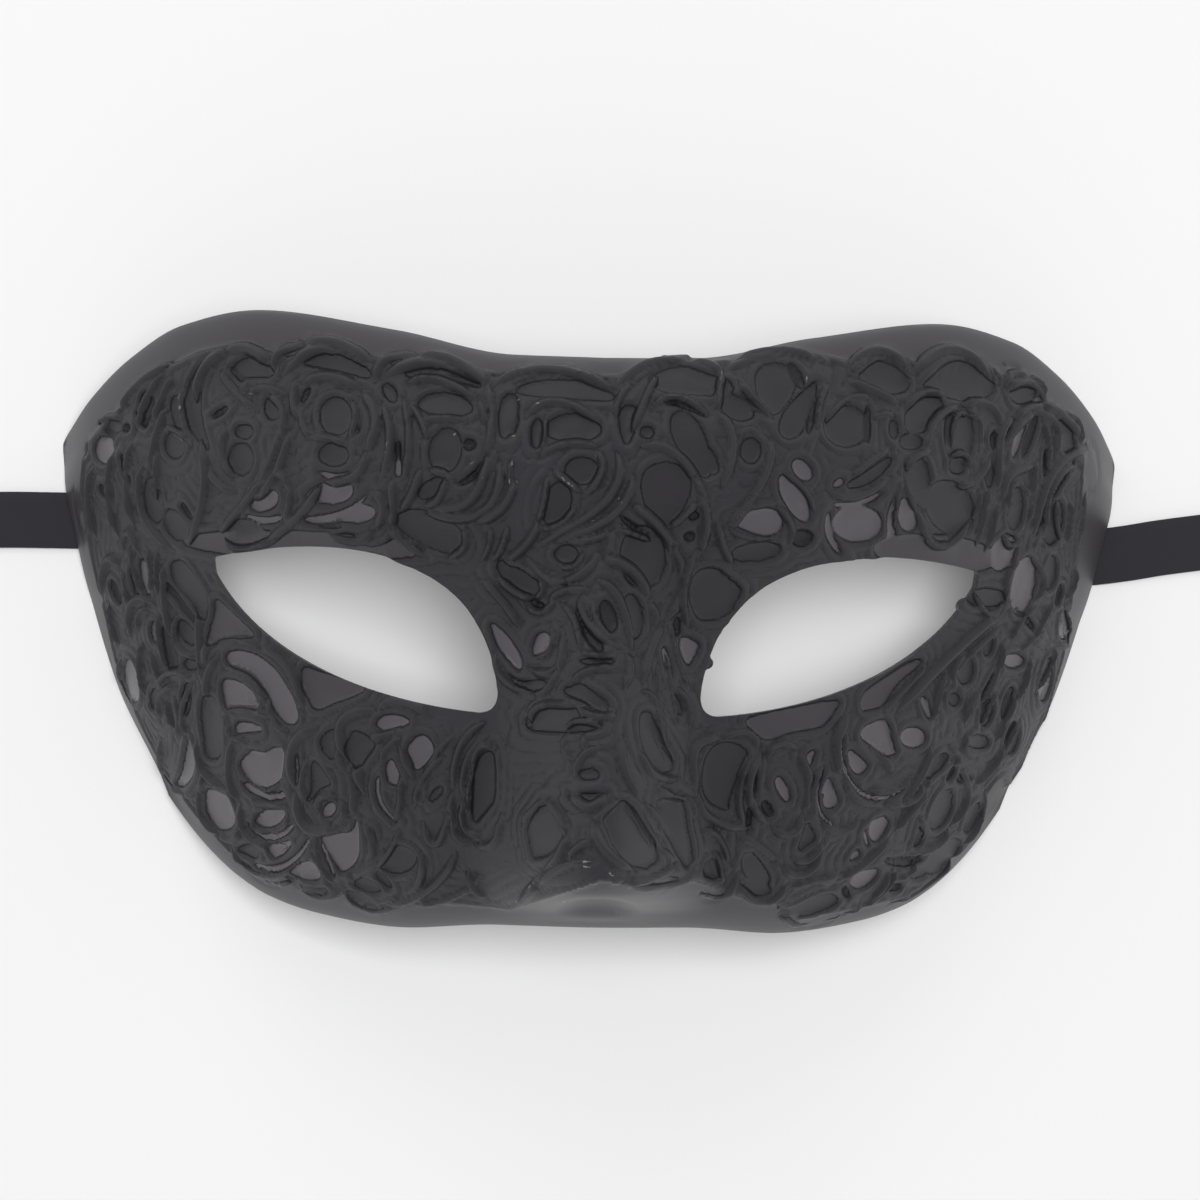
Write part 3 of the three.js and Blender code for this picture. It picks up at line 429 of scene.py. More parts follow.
# Ridges that flow between the hollows: start, a place halfway along, end, width
ARCS = [
    (198, 402, 208, 368, 232, 352, 12), (228, 353, 250, 350, 274, 366, 12), (224, 370, 236, 390, 262, 412, 9),
    (250, 396, 268, 389, 288, 398, 9), (228, 425, 226, 455, 238, 478, 8), (203, 440, 214, 475, 240, 492, 9),
    (268, 478, 246, 504, 222, 532, 9), (292, 430, 280, 470, 258, 500, 9), (226, 538, 250, 548, 290, 528, 8),
    (147, 460, 146, 510, 178, 552, 9), (156, 440, 160, 470, 158, 500, 7), (172, 405, 160, 435, 152, 475, 9),
    (176, 375, 166, 398, 155, 422, 9), (183, 390, 187, 420, 196, 448, 8), (168, 426, 180, 432, 192, 440, 7),
    (202, 440, 207, 490, 190, 545, 10), (125, 555, 132, 532, 145, 560, 7), (74, 488, 76, 515, 84, 545, 7),
    (97, 465, 92, 500, 100, 540, 8), (118, 450, 112, 490, 122, 540, 8), (136, 440, 130, 480, 138, 530, 8),
    (98, 424, 112, 417, 126, 420, 7), (124, 412, 140, 385, 175, 362, 9), (140, 430, 150, 400, 168, 372, 9),
    (276, 372, 283, 352, 308, 345, 11), (305, 345, 335, 343, 375, 364, 11), (284, 374, 288, 364, 298, 357, 5),
    (303, 384, 335, 378, 362, 392, 11), (362, 392, 378, 420, 366, 452, 12), (366, 452, 358, 475, 325, 482, 9),
    (300, 400, 308, 430, 318, 438, 9), (352, 402, 358, 418, 350, 440, 8), (312, 440, 330, 438, 348, 446, 8),
    (377, 384, 388, 360, 420, 357, 11), (418, 357, 452, 362, 490, 388, 11), (488, 384, 492, 420, 488, 455, 9),
    (488, 455, 470, 500, 430, 505, 10), (500, 460, 485, 510, 425, 512, 10), (408, 384, 440, 382, 478, 402, 9),
    (478, 402, 484, 412, 484, 425, 8), (420, 425, 440, 420, 468, 422, 8), (383, 404, 392, 440, 382, 480, 9),
    (404, 400, 411, 440, 404, 480, 8), (412, 405, 424, 425, 428, 440, 7), (420, 470, 415, 490, 400, 512, 9),
    (430, 470, 445, 474, 456, 482, 8), (446, 478, 440, 497, 425, 505, 8), (393, 478, 394, 505, 393, 526, 10),
    (393, 526, 385, 538, 360, 542, 8), (393, 526, 405, 540, 430, 556, 8), (463, 528, 466, 545, 450, 556, 8),
    (322, 486, 300, 515, 268, 540, 10), (372, 490, 385, 505, 375, 530, 10), (375, 530, 355, 540, 330, 532, 9),
    (283, 425, 276, 455, 262, 480, 7), (290, 480, 292, 500, 285, 520, 8), (278, 478, 286, 475, 290, 490, 6),
    (300, 378, 296, 400, 300, 420, 9), (270, 398, 285, 410, 283, 440, 9), (492, 388, 548, 371, 614, 391, 11),
    (526, 420, 556, 403, 600, 424, 9), (546, 418, 545, 435, 543, 452, 5), (540, 456, 568, 444, 598, 448, 8),
    (594, 450, 602, 470, 582, 498, 8), (552, 470, 566, 480, 580, 492, 8), (547, 478, 544, 500, 538, 522, 7),
    (538, 526, 560, 524, 575, 505, 7), (616, 452, 606, 500, 530, 548, 10), (633, 476, 612, 515, 556, 542, 10),
    (622, 524, 600, 537, 568, 543, 8), (514, 478, 504, 505, 478, 522, 10), (538, 522, 528, 542, 505, 562, 10),
    (491, 527, 490, 545, 482, 560, 6), (508, 525, 504, 543, 495, 560, 7), (615, 392, 645, 368, 690, 364, 11),
    (657, 378, 645, 400, 632, 432, 8), (632, 384, 618, 403, 617, 418, 7), (650, 410, 676, 399, 708, 418, 7),
    (640, 448, 672, 452, 702, 490, 10), (694, 478, 703, 505, 700, 560, 9), (668, 528, 684, 514, 698, 502, 7),
    (632, 505, 660, 528, 680, 562, 11), (620, 530, 633, 534, 650, 540, 6), (614, 528, 610, 545, 607, 562, 9),
    (513, 460, 510, 472, 511, 484, 6), (690, 364, 710, 368, 722, 378, 9), (722, 374, 718, 395, 717, 412, 8),
    (733, 364, 775, 353, 818, 361, 9), (738, 384, 752, 400, 772, 420, 8), (872, 402, 846, 400, 824, 424, 7),
    (872, 421, 881, 415, 893, 418, 6), (846, 376, 872, 352, 910, 370, 11), (850, 372, 856, 366, 866, 362, 5),
    (846, 382, 872, 392, 898, 406, 10), (738, 455, 740, 434, 760, 433, 7), (716, 412, 732, 445, 720, 488, 10),
    (768, 440, 760, 482, 712, 545, 10), (757, 493, 742, 507, 727, 520, 5), (850, 478, 868, 462, 888, 450, 7),
    (826, 490, 855, 496, 888, 476, 8), (727, 527, 748, 536, 777, 535, 5), (775, 505, 790, 525, 785, 545, 8),
    (700, 495, 706, 525, 694, 560, 9), (717, 520, 722, 545, 732, 562, 9), (826, 385, 818, 405, 815, 430, 7),
    (783, 474, 803, 490, 812, 510, 6), (910, 376, 948, 350, 990, 378, 11), (903, 412, 920, 394, 945, 398, 9),
    (922, 460, 932, 422, 958, 407, 10), (958, 407, 985, 405, 1000, 432, 9), (950, 447, 953, 418, 966, 417, 6),
    (966, 417, 977, 424, 975, 450, 6), (948, 457, 962, 455, 967, 470, 7), (955, 485, 972, 480, 990, 455, 8),
    (997, 500, 997, 440, 1012, 420, 10), (1012, 420, 1025, 408, 1042, 410, 9), (1002, 388, 1010, 374, 1028, 378, 8),
    (1028, 378, 1038, 385, 1042, 398, 8), (1028, 412, 1052, 425, 1050, 462, 8), (1060, 412, 1076, 425, 1076, 446, 7),
    (1088, 448, 1048, 475, 1030, 545, 10), (1076, 466, 1050, 485, 1040, 545, 8), (1002, 500, 1006, 476, 1035, 466, 9),
    (1007, 515, 1007, 488, 1018, 487, 6), (1018, 487, 1028, 500, 1024, 525, 6), (1084, 447, 1094, 448, 1099, 478, 7),
    (1098, 487, 1082, 505, 1078, 548, 9), (988, 488, 980, 512, 975, 545, 8), (996, 505, 990, 525, 984, 550, 7),
    (893, 528, 894, 500, 902, 478, 5), (903, 478, 908, 500, 920, 512, 6), (915, 507, 936, 545, 970, 518, 9),
    (970, 518, 976, 500, 974, 490, 7), (905, 472, 912, 458, 930, 452, 8), (1034, 460, 1030, 480, 1028, 500, 7),
    (1055, 500, 1052, 520, 1060, 545, 6), (1068, 500, 1066, 520, 1064, 545, 7), (1000, 535, 1008, 545, 1020, 535, 7),
    (1045, 470, 1044, 440, 1038, 420, 7), (105, 600, 110, 560, 124, 568, 8), (124, 568, 131, 600, 128, 640, 7),
    (133, 545, 138, 570, 146, 595, 6), (150, 545, 155, 572, 152, 592, 6), (161, 545, 160, 580, 165, 596, 6),
    (167, 560, 168, 600, 175, 640, 9), (133, 640, 137, 600, 160, 605, 8), (141, 632, 143, 612, 153, 607, 5),
    (162, 612, 164, 640, 172, 674, 8), (180, 612, 182, 645, 205, 657, 8), (205, 600, 202, 630, 206, 690, 10),
    (205, 668, 222, 634, 262, 648, 11), (262, 648, 290, 668, 306, 712, 10), (213, 722, 210, 680, 222, 655, 9),
    (226, 667, 256, 678, 268, 708, 7), (270, 700, 278, 722, 292, 732, 8), (222, 716, 245, 706, 274, 718, 9),
    (234, 722, 234, 735, 252, 740, 7), (125, 655, 124, 680, 132, 704, 6), (146, 642, 143, 665, 150, 700, 7),
    (152, 650, 160, 670, 158, 690, 6), (161, 690, 172, 672, 194, 675, 8), (164, 720, 164, 695, 180, 684, 7),
    (196, 682, 186, 710, 190, 735, 7), (176, 695, 182, 715, 178, 740, 6), (170, 700, 172, 715, 178, 728, 5),
    (112, 600, 116, 625, 122, 645, 6), (112, 660, 116, 690, 130, 720, 6), (526, 556, 563, 583, 600, 552, 11),
    (560, 566, 576, 566, 583, 552, 6), (498, 575, 518, 592, 535, 598, 8), (535, 598, 545, 590, 538, 578, 7),
    (505, 562, 524, 566, 540, 580, 6), (527, 604, 545, 612, 558, 596, 8), (603, 560, 630, 570, 648, 600, 12),
    (648, 600, 652, 630, 634, 656, 10), (597, 582, 618, 600, 630, 654, 9), (580, 598, 590, 625, 612, 646, 8),
    (594, 602, 598, 622, 612, 640, 5), (562, 602, 577, 622, 582, 652, 7), (582, 652, 598, 657, 615, 656, 6),
    (575, 682, 590, 672, 614, 668, 8), (672, 545, 682, 585, 662, 622, 10), (662, 622, 648, 650, 640, 685, 10),
    (697, 548, 682, 590, 688, 628, 8), (530, 668, 560, 670, 564, 628, 10), (534, 656, 552, 652, 554, 628, 5),
    (482, 578, 505, 602, 522, 628, 9), (496, 652, 506, 680, 535, 692, 8), (535, 692, 550, 690, 560, 670, 8),
    (533, 722, 545, 702, 600, 708, 8), (640, 692, 653, 705, 658, 745, 6), (670, 622, 674, 660, 690, 692, 4),
    (655, 662, 656, 700, 664, 742, 5), (664, 655, 668, 690, 674, 722, 5), (670, 690, 683, 700, 688, 732, 7),
    (625, 655, 628, 670, 622, 690, 8), (550, 600, 570, 590, 590, 592, 8), (1010, 602, 955, 648, 893, 714, 12),
    (1002, 624, 965, 655, 938, 695, 8), (972, 592, 985, 612, 1000, 602, 7), (1005, 602, 1004, 575, 1018, 560, 7),
    (1030, 560, 1040, 580, 1030, 602, 8), (1008, 642, 1018, 620, 1036, 605, 5), (1015, 652, 1034, 632, 1046, 612, 5),
    (1030, 642, 1040, 620, 1052, 600, 5), (1000, 640, 995, 668, 978, 704, 8), (955, 692, 950, 670, 965, 652, 6),
    (1027, 652, 1022, 680, 1010, 702, 6), (978, 728, 985, 705, 996, 690, 6), (990, 745, 1003, 715, 1012, 690, 6),
    (1052, 645, 1046, 665, 1032, 692, 6), (1000, 762, 1004, 740, 1016, 718, 6), (925, 665, 905, 685, 880, 712, 7),
    (932, 720, 935, 695, 945, 668, 7), (962, 725, 966, 705, 978, 690, 7), (1060, 600, 1070, 585, 1072, 565, 6),
    (1050, 640, 1066, 640, 1060, 600, 5), (163, 735, 168, 775, 186, 792, 9), (186, 792, 202, 792, 205, 770, 8),
    (200, 735, 206, 768, 228, 787, 8), (203, 790, 206, 815, 222, 833, 8), (222, 833, 236, 838, 242, 826, 8),
    (236, 735, 232, 775, 243, 800, 9), (243, 800, 252, 835, 285, 846, 8), (244, 778, 262, 792, 286, 780, 5),
    (252, 800, 270, 803, 290, 802, 8), (258, 812, 258, 828, 272, 831, 6), (272, 831, 286, 828, 291, 812, 6),
    (232, 842, 262, 874, 302, 860, 7), (302, 860, 314, 845, 317, 826, 7), (320, 728, 296, 745, 297, 790, 12),
    (297, 790, 312, 828, 348, 820, 13), (310, 758, 306, 790, 322, 803, 7), (320, 812, 324, 796, 340, 799, 8),
    (340, 799, 347, 812, 334, 823, 8), (338, 745, 346, 768, 360, 774, 8), (350, 775, 356, 790, 352, 815, 9),
    (364, 820, 374, 850, 352, 880, 8), (319, 835, 323, 862, 338, 882, 5), (290, 874, 318, 896, 348, 884, 7),
    (345, 892, 372, 910, 405, 900, 7), (243, 862, 270, 884, 300, 874, 5), (350, 762, 344, 722, 378, 710, 12),
    (378, 710, 402, 702, 434, 718, 9), (366, 795, 362, 752, 396, 732, 11), (384, 765, 388, 748, 402, 738, 6),
    (400, 745, 412, 770, 420, 776, 8), (440, 745, 432, 765, 418, 778, 8), (455, 736, 432, 762, 425, 800, 7),
    (446, 756, 424, 778, 416, 806, 6), (487, 722, 462, 745, 454, 790, 8), (454, 790, 454, 828, 475, 842, 9),
    (475, 842, 498, 842, 504, 812, 9), (490, 735, 468, 760, 464, 800, 7), (464, 800, 466, 826, 484, 834, 7),
    (498, 750, 480, 748, 474, 775, 7), (474, 775, 470, 792, 472, 812, 6), (422, 850, 420, 880, 398, 898, 9),
    (458, 850, 432, 885, 385, 904, 9), (485, 872, 458, 892, 410, 905, 7), (423, 820, 437, 842, 450, 812, 8),
    (392, 845, 374, 862, 352, 873, 8), (402, 828, 392, 848, 378, 866, 6), (400, 775, 402, 800, 395, 822, 7),
    (470, 868, 476, 885, 490, 895, 8), (533, 724, 545, 706, 578, 708, 8), (578, 708, 598, 718, 614, 712, 8),
    (568, 732, 580, 722, 602, 728, 6), (567, 736, 568, 754, 576, 762, 6), (584, 734, 585, 752, 576, 762, 6),
    (578, 778, 584, 758, 600, 748, 8), (572, 792, 590, 808, 606, 794, 11), (621, 735, 622, 770, 641, 804, 9),
    (641, 804, 655, 820, 668, 836, 8), (638, 750, 650, 775, 678, 778, 8), (652, 786, 672, 798, 684, 797, 7),
    (684, 797, 690, 806, 691, 820, 7), (655, 705, 659, 738, 673, 762, 6), (548, 800, 562, 816, 568, 836, 9),
    (548, 800, 536, 812, 525, 822, 8), (568, 836, 558, 862, 512, 908, 10), (570, 860, 584, 845, 598, 842, 8),
    (598, 842, 606, 852, 610, 866, 7), (540, 884, 566, 866, 592, 862, 8), (618, 800, 606, 812, 594, 822, 9),
    (594, 822, 604, 850, 632, 870, 9), (625, 800, 640, 825, 656, 848, 8), (656, 848, 668, 862, 662, 874, 8),
    (620, 882, 650, 876, 674, 862, 9), (632, 886, 672, 884, 692, 864, 9), (700, 745, 690, 775, 698, 800, 7),
    (697, 792, 692, 750, 722, 738, 11), (722, 738, 746, 732, 758, 750, 9), (758, 750, 738, 790, 745, 824, 8),
    (697, 792, 706, 816, 750, 828, 9), (762, 752, 748, 792, 770, 826, 9), (766, 760, 776, 744, 798, 750, 8),
    (798, 752, 808, 785, 801, 812, 9), (801, 812, 790, 832, 770, 826, 9), (735, 832, 760, 846, 776, 862, 8),
    (776, 862, 800, 872, 822, 850, 9), (790, 855, 806, 858, 822, 838, 7), (822, 765, 811, 792, 820, 816, 7),
    (820, 816, 836, 830, 860, 818, 8), (848, 712, 835, 745, 842, 775, 10), (842, 775, 855, 798, 882, 802, 9),
    (882, 802, 908, 800, 920, 780, 9), (862, 738, 880, 755, 889, 774, 10), (846, 752, 846, 782, 866, 789, 7),
    (866, 789, 892, 790, 908, 774, 6), (811, 880, 852, 868, 892, 830, 9), (892, 830, 908, 810, 928, 788, 8),
    (778, 904, 800, 926, 842, 914, 8), (842, 914, 872, 895, 888, 868, 6), (738, 882, 762, 900, 788, 880, 9),
    (770, 858, 778, 870, 774, 884, 6), (700, 892, 722, 896, 738, 868, 8), (712, 850, 718, 865, 722, 882, 6),
    (700, 830, 716, 836, 728, 862, 7), (790, 885, 812, 878, 842, 872, 7), (924, 792, 930, 770, 950, 758, 6),
    (957, 768, 964, 796, 946, 826, 9), (946, 826, 930, 846, 898, 856, 8), (890, 902, 926, 885, 950, 858, 7),
    (982, 788, 976, 820, 958, 845, 6), (858, 906, 880, 890, 896, 866, 5), (966, 732, 962, 748, 974, 757, 6),
    (928, 745, 920, 770, 900, 800, 8), (1000, 745, 990, 765, 970, 785, 7), (945, 745, 955, 755, 950, 765, 6),
    (895, 878, 908, 870, 912, 860, 5), (916, 815, 920, 830, 914, 845, 6),
]
# Recess below the nose, charted as the hollows are
NOSE_RECESS = (598, 910, 48, 10, 0, -2, 0, 0)
RECESS_DEPTH = 1.6
# White scuffs on the crests, and white marks at the nose tip, along the left nostril's fold and beside the recess
# below the nose that are painted highlights: from, to
SCUFFS_AND_PAINTED_HIGHLIGHTS = [
    (425, 388, 445, 388), (420, 468, 468, 422), (391, 440, 387, 455), (406, 445, 410, 445), (432, 455, 455, 474),
    (463, 468, 477, 461), (484, 478, 488, 479), (498, 446, 502, 447), (512, 436, 515, 437), (513, 460, 510, 483),
    (517, 482, 520, 483), (515, 400, 540, 407), (557, 475, 577, 489), (594, 452, 600, 478), (574, 504, 577, 506),
    (617, 495, 622, 503), (590, 520, 594, 521), (602, 533, 605, 535), (606, 428, 610, 438), (368, 368, 372, 369),
    (348, 445, 352, 446), (369, 454, 372, 457), (358, 470, 363, 478), (168, 428, 193, 448), (183, 392, 186, 410),
    (200, 445, 202, 448), (250, 394, 262, 398), (722, 373, 718, 388), (803, 370, 806, 388), (279, 497, 282, 499),
    (993, 382, 995, 390), (505, 912, 528, 888), (528, 888, 550, 872), (587, 861, 594, 862), (586, 866, 593, 867),
    (597, 866, 614, 875), (590, 880, 604, 888), (763, 905, 775, 925), (560, 905, 566, 900), (630, 910, 638, 909),
]
# The relief's edge beside and below the scallops of the brow, clockwise from the right temple
FIELD_EDGE = [
    (1082, 452), (1078, 520), (1072, 580), (1062, 650), (1044, 712), (1018, 765), (988, 812), (960, 850),
    (930, 878), (900, 897), (850, 908), (800, 918), (770, 900), (742, 897), (700, 882), (668, 876), (640, 884),
    (600, 880), (560, 893), (512, 908), (470, 904), (440, 902), (400, 900), (370, 906), (345, 893), (316, 892),
    (286, 876), (262, 870), (232, 852), (196, 812), (168, 772), (140, 716), (118, 660), (104, 600), (90, 540),
    (82, 490), (86, 446),
]
SCALLOP_FROM_LEFT = [(110, 418), (150, 378), (200, 352), (240, 344), (272, 352)]

# ---- Heights and reaches of the relief, in millimetres and shares
FAR = 9.0
ROPE_HEIGHT = 0.9
ROPE_HALF = 0.78
ROPE_FADE = 0.6
FIELD_LEVEL = 0.35
FIELD_SLOPE = 0.3
ARC_HEIGHT = 1.6
ARC_BREADTH = 1.08
ARC_STOPS = 2.5
ARC_STEPS = 14
ARC_TAPER = 6
ARC_LEAST_END = 0.04
ARC_REACH = 1
ARC_SIDE = 0.35
HOLLOW_GROWTH = 1.12
MOST_BOW_SHARE = 1.5
MOST_TAPER_SHARE = 1.2
GLOSS_REACH = 1.2
PLAIN_GLOSS_AND_SHEEN = 0.5
BORDER_GLOSS_AND_SHEEN = 0.75
PANE_LIP = 0.3
SLIT_DEPTH = 0.25
SLIT_SLOPE = 0.4
SCUFF_REACH = 1.0
SCUFF_SPAN = 2
RECESS_SLOPE = 0.8
WHOLE_FACE = 400

# ---- Reaches on the chart, in its units
HOLLOW_PAD = 14
HOLLOW_PAD_SHARE = 1.2
PANE_PAD = 16
FIELD_CENTRE_DROP = 30

# ---- Fineness and guards of the grid's measures
LEVEL_STEPS = 401
LINE_PAD_SHARE = 1.3
FEWEST_NODES = 3
TINY = 1e-9
LEAST_SLOPE = 1e-8
UNREACHED = 1e9


def scallop_line(row):
    from_x, from_y, to_x, to_y, bow, _ = row
    t = np.linspace(0, 1, ARC_STEPS)
    dx, dy = to_x - from_x, to_y - from_y
    off = bow * 4 * t * (1 - t) / math.hypot(dx, dy)
    return np.stack([from_x + dx * t + off * dy, from_y + dy * t - off * dx], -1)


def arc_line(row):
    start, middle, end = (np.array(row[i : i + 2], float) for i in (0, 2, 4))
    t = np.linspace(0, 1, ARC_STEPS)[:, None]
    bend = 2 * middle - (start + end) / 2
    return (1 - t) ** 2 * start + 2 * t * (1 - t) * bend + t**2 * end


def field_outline():
    """The closed edge of the relief: scallops along the brow, then round the sides and below."""
    points = list(SCALLOP_FROM_LEFT)
    for row in SCALLOPS:
        line = scallop_line(row)
        middle = line.mean(0)
        out = line - [middle[0], line[:, 1].max() + FIELD_CENTRE_DROP]
        out = out / np.linalg.norm(out, axis=1, keepdims=True)
        points += [tuple(p) for p in (line + out * row[-1] / 2)[2:-2:3]]
    return np.array(points + FIELD_EDGE)


def hollow_level(row, x, y):
    """Below zero inside the hollow, and growing with the distance from its edge outside."""
    at_x, at_y, long, wide, angle, bow, taper, gloss_and_painted_sheen = row
    turn = math.radians(angle)
    along = (x - at_x) * math.cos(turn) + (y - at_y) * math.sin(turn)
    aside = -(x - at_x) * math.sin(turn) + (y - at_y) * math.cos(turn)
    share = along / long
    aside = aside - bow * (1 - np.clip(share, -MOST_BOW_SHARE, MOST_BOW_SHARE) ** 2)
    half = wide * (1 - taper * np.clip(share, -MOST_TAPER_SHARE, MOST_TAPER_SHARE))
    if gloss_and_painted_sheen:
        share, half = share / HOLLOW_GROWTH, half * HOLLOW_GROWTH
    return np.sqrt(share**2 + (aside / half) ** 2) - 1


def rounded(corners):
    """A closed outline with its corners cut twice."""
    for _ in range(2):
        after = np.roll(corners, -1, axis=0)
        corners = np.stack([corners * 0.75 + after * 0.25, corners * 0.25 + after * 0.75], 1).reshape(-1, 2)
    return corners


class Face:
    """The face's grid: its points, their chart places, and distances measured along it."""

    def __init__(self, columns, rows):
        share = np.linspace(-1, 1, LEVEL_STEPS)
        level = face_point(share * side_angle(0.5), 0 * share)
        run = np.concatenate([[0], np.cumsum(np.linalg.norm(np.diff(level, axis=0), axis=1))])
        across = np.interp(np.linspace(0, run[-1], columns + 1), run, share)[:, None]
        up = np.linspace(0, 1, rows + 1)[None, :]
        top = through(RIM_TOP, np.abs(across)) * MASK_HEIGHT
        bottom = through(RIM_BOTTOM, np.abs(across)) * MASK_HEIGHT
        angle = across * side_angle(up)
        y = bottom + (top - bottom) * up
        self.across = across + 0 * up
        self.points = face_point(angle, y)
        self.normals = face_normal(angle, y)
        self.chart_x, self.chart_y = chart_of(self.points)
        by_column, by_row = np.gradient(self.points, axis=0), np.gradient(self.points, axis=1)
        self.cc = (by_column**2).sum(-1)
        self.cr = (by_column * by_row).sum(-1)
        self.rr = (by_row**2).sum(-1)
        self.det = np.maximum(self.cc * self.rr - self.cr**2, TINY)

    def window(self, low_x, high_x, low_y, high_y):
        """The block of the grid that shows within these chart places."""
        inside = (
            (self.chart_x > low_x) & (self.chart_x < high_x) & (self.chart_y > low_y) & (self.chart_y < high_y)
        )
        columns, rows = np.nonzero(inside.any(1))[0], np.nonzero(inside.any(0))[0]
        if not len(columns):
            return None
        return slice(columns[0], columns[-1] + 1), slice(rows[0], rows[-1] + 1)

    def distance(self, level, at):
        """Distance in millimetres along the face from the line where a level is zero."""
        by_column, by_row = np.gradient(level)
        slope = (
            self.rr[at] * by_column**2 - 2 * self.cr[at] * by_column * by_row + self.cc[at] * by_row**2
        ) / self.det[at]
        return level / np.sqrt(np.maximum(slope, LEAST_SLOPE))

    def line_distance(self, line, reach):
        """Distance from a line of chart places laid on the face, share of the way along it, and the block."""
        path = face_point(*on_face(line[:, 0], line[:, 1]))
        pad = reach * CHART_UNITS_PER_MM * LINE_PAD_SHARE
        (low_x, low_y), (high_x, high_y) = line.min(0) - pad, line.max(0) + pad
        at = self.window(low_x, high_x, low_y, high_y)
        if at is None:
            return None, None, None
        points = self.points[at]
        nearest = np.full(points.shape[:2], UNREACHED)
        along = np.zeros(points.shape[:2])
        steps = len(path) - 1
        for i in range(steps):
            start, way = path[i], path[i + 1] - path[i]
            t = np.clip((points - start) @ way / max(way @ way, TINY), 0, 1)
            gap = np.linalg.norm(points - start - t[..., None] * way, axis=-1)
            closer = gap < nearest
            nearest = np.where(closer, gap, nearest)
            along = np.where(closer, (i + t) / steps, along)
        return nearest, along, at


def blurred(values):
    """Each value evened out with its neighbours on the grid."""
    padded = np.pad(values, 1, mode="edge")
    values = (padded[:-2] + 2 * padded[1:-1] + padded[2:])[:, 1:-1] / 4
    padded = np.pad(values, 1, mode="edge")
    return (padded[:, :-2] + 2 * padded[:, 1:-1] + padded[:, 2:])[1:-1] / 4


def inside_outline(outline, x, y):
    inside = np.zeros(x.shape, bool)
    for (ax, ay), (bx, by) in zip(outline, np.roll(outline, -1, axis=0)):
        if ay != by:
            inside ^= ((ay > y) != (by > y)) & (x < (bx - ax) * (y - ay) / (by - ay) + ax)
    return inside


def outline_distance(outline, x, y):
    """Distance from a closed outline, below zero inside it."""
    nearest = np.full(x.shape, UNREACHED)
    for (ax, ay), (bx, by) in zip(outline, np.roll(outline, -1, axis=0)):
        length = (bx - ax) ** 2 + (by - ay) ** 2
        t = np.clip(((x - ax) * (bx - ax) + (y - ay) * (by - ay)) / max(length, TINY), 0, 1)
        nearest = np.minimum(nearest, np.hypot(x - ax - t * (bx - ax), y - ay - t * (by - ay)))
    return np.where(inside_outline(outline, x, y), -nearest, nearest)


def note_hollow(at, distance, shine, gap, gloss_and_painted_sheen):
    """Writes a hollow's distance, and its gloss and painted sheen where it is the nearest one."""
    nearer = (distance < gap[at]) & (distance < GLOSS_REACH)
    gloss_and_painted_sheen[at] = np.where(nearer, shine / 2, gloss_and_painted_sheen[at])
    gap[at] = np.minimum(gap[at], distance)


def hollows(face):
    """Distance from the hollows, their gloss and painted sheen, the slits' depth, and the distance from the panes
    alone.
    """
    shape = face.chart_x.shape
    gap, pane = np.full(shape, FAR), np.full(shape, FAR)
    gloss_and_painted_sheen, floor = np.full(shape, PLAIN_GLOSS_AND_SHEEN), np.zeros(shape)
    for row in HOLLOWS + PLAIN_AT_EYES:
        pad = HOLLOW_PAD_SHARE * max(row[2], row[3]) + abs(row[5]) + HOLLOW_PAD
        at = face.window(row[0] - pad, row[0] + pad, row[1] - pad, row[1] + pad)
        if at is None or min(at[0].stop - at[0].start, at[1].stop - at[1].start) < FEWEST_NODES:
            continue
        distance = face.distance(hollow_level(row, face.chart_x[at], face.chart_y[at]), at)
        note_hollow(at, distance, row[-1], gap, gloss_and_painted_sheen)
        if row[-1] == 0:
            floor[at] = np.minimum(floor[at], -SLIT_DEPTH * np.clip(-distance / SLIT_SLOPE, 0, 1))
    for shine, corners in PANES:
        corners = np.array(corners, float)
        low, high = corners.min(0) - PANE_PAD, corners.max(0) + PANE_PAD
        at = face.window(low[0], high[0], low[1], high[1])
        x, y = face.chart_x[at], face.chart_y[at]
        distance = face.distance(outline_distance(rounded(corners), x, y), at)
        note_hollow(at, distance, shine, gap, gloss_and_painted_sheen)
        pane[at] = np.minimum(pane[at], distance)
    return gap, gloss_and_painted_sheen, floor, pane


def field_edge(face):
    """Distance from the edge of the relief, above zero within it."""
    outline = field_outline()
    nearest, _, _ = face.line_distance(np.vstack([outline, outline[:1]]), WHOLE_FACE)
    return np.where(inside_outline(outline, face.chart_x, face.chart_y), nearest, -nearest)


def ropes(gap):
    """Low ropes that run round the hollows: the place across them, and their height."""
    rings = gap / (2 * ROPE_HALF)
    across = np.where(gap > 0, np.abs(2 * (rings % 1) - 1), 0)
    rope = np.sqrt(np.maximum(1 - across**2, 0)) * ROPE_FADE ** np.maximum(np.floor(rings), 0)
    field = FIELD_LEVEL * np.clip(gap / FIELD_SLOPE, 0, 1)
    return across, np.where(gap > 0, field + (ROPE_HEIGHT - FIELD_LEVEL) * rope, 0)


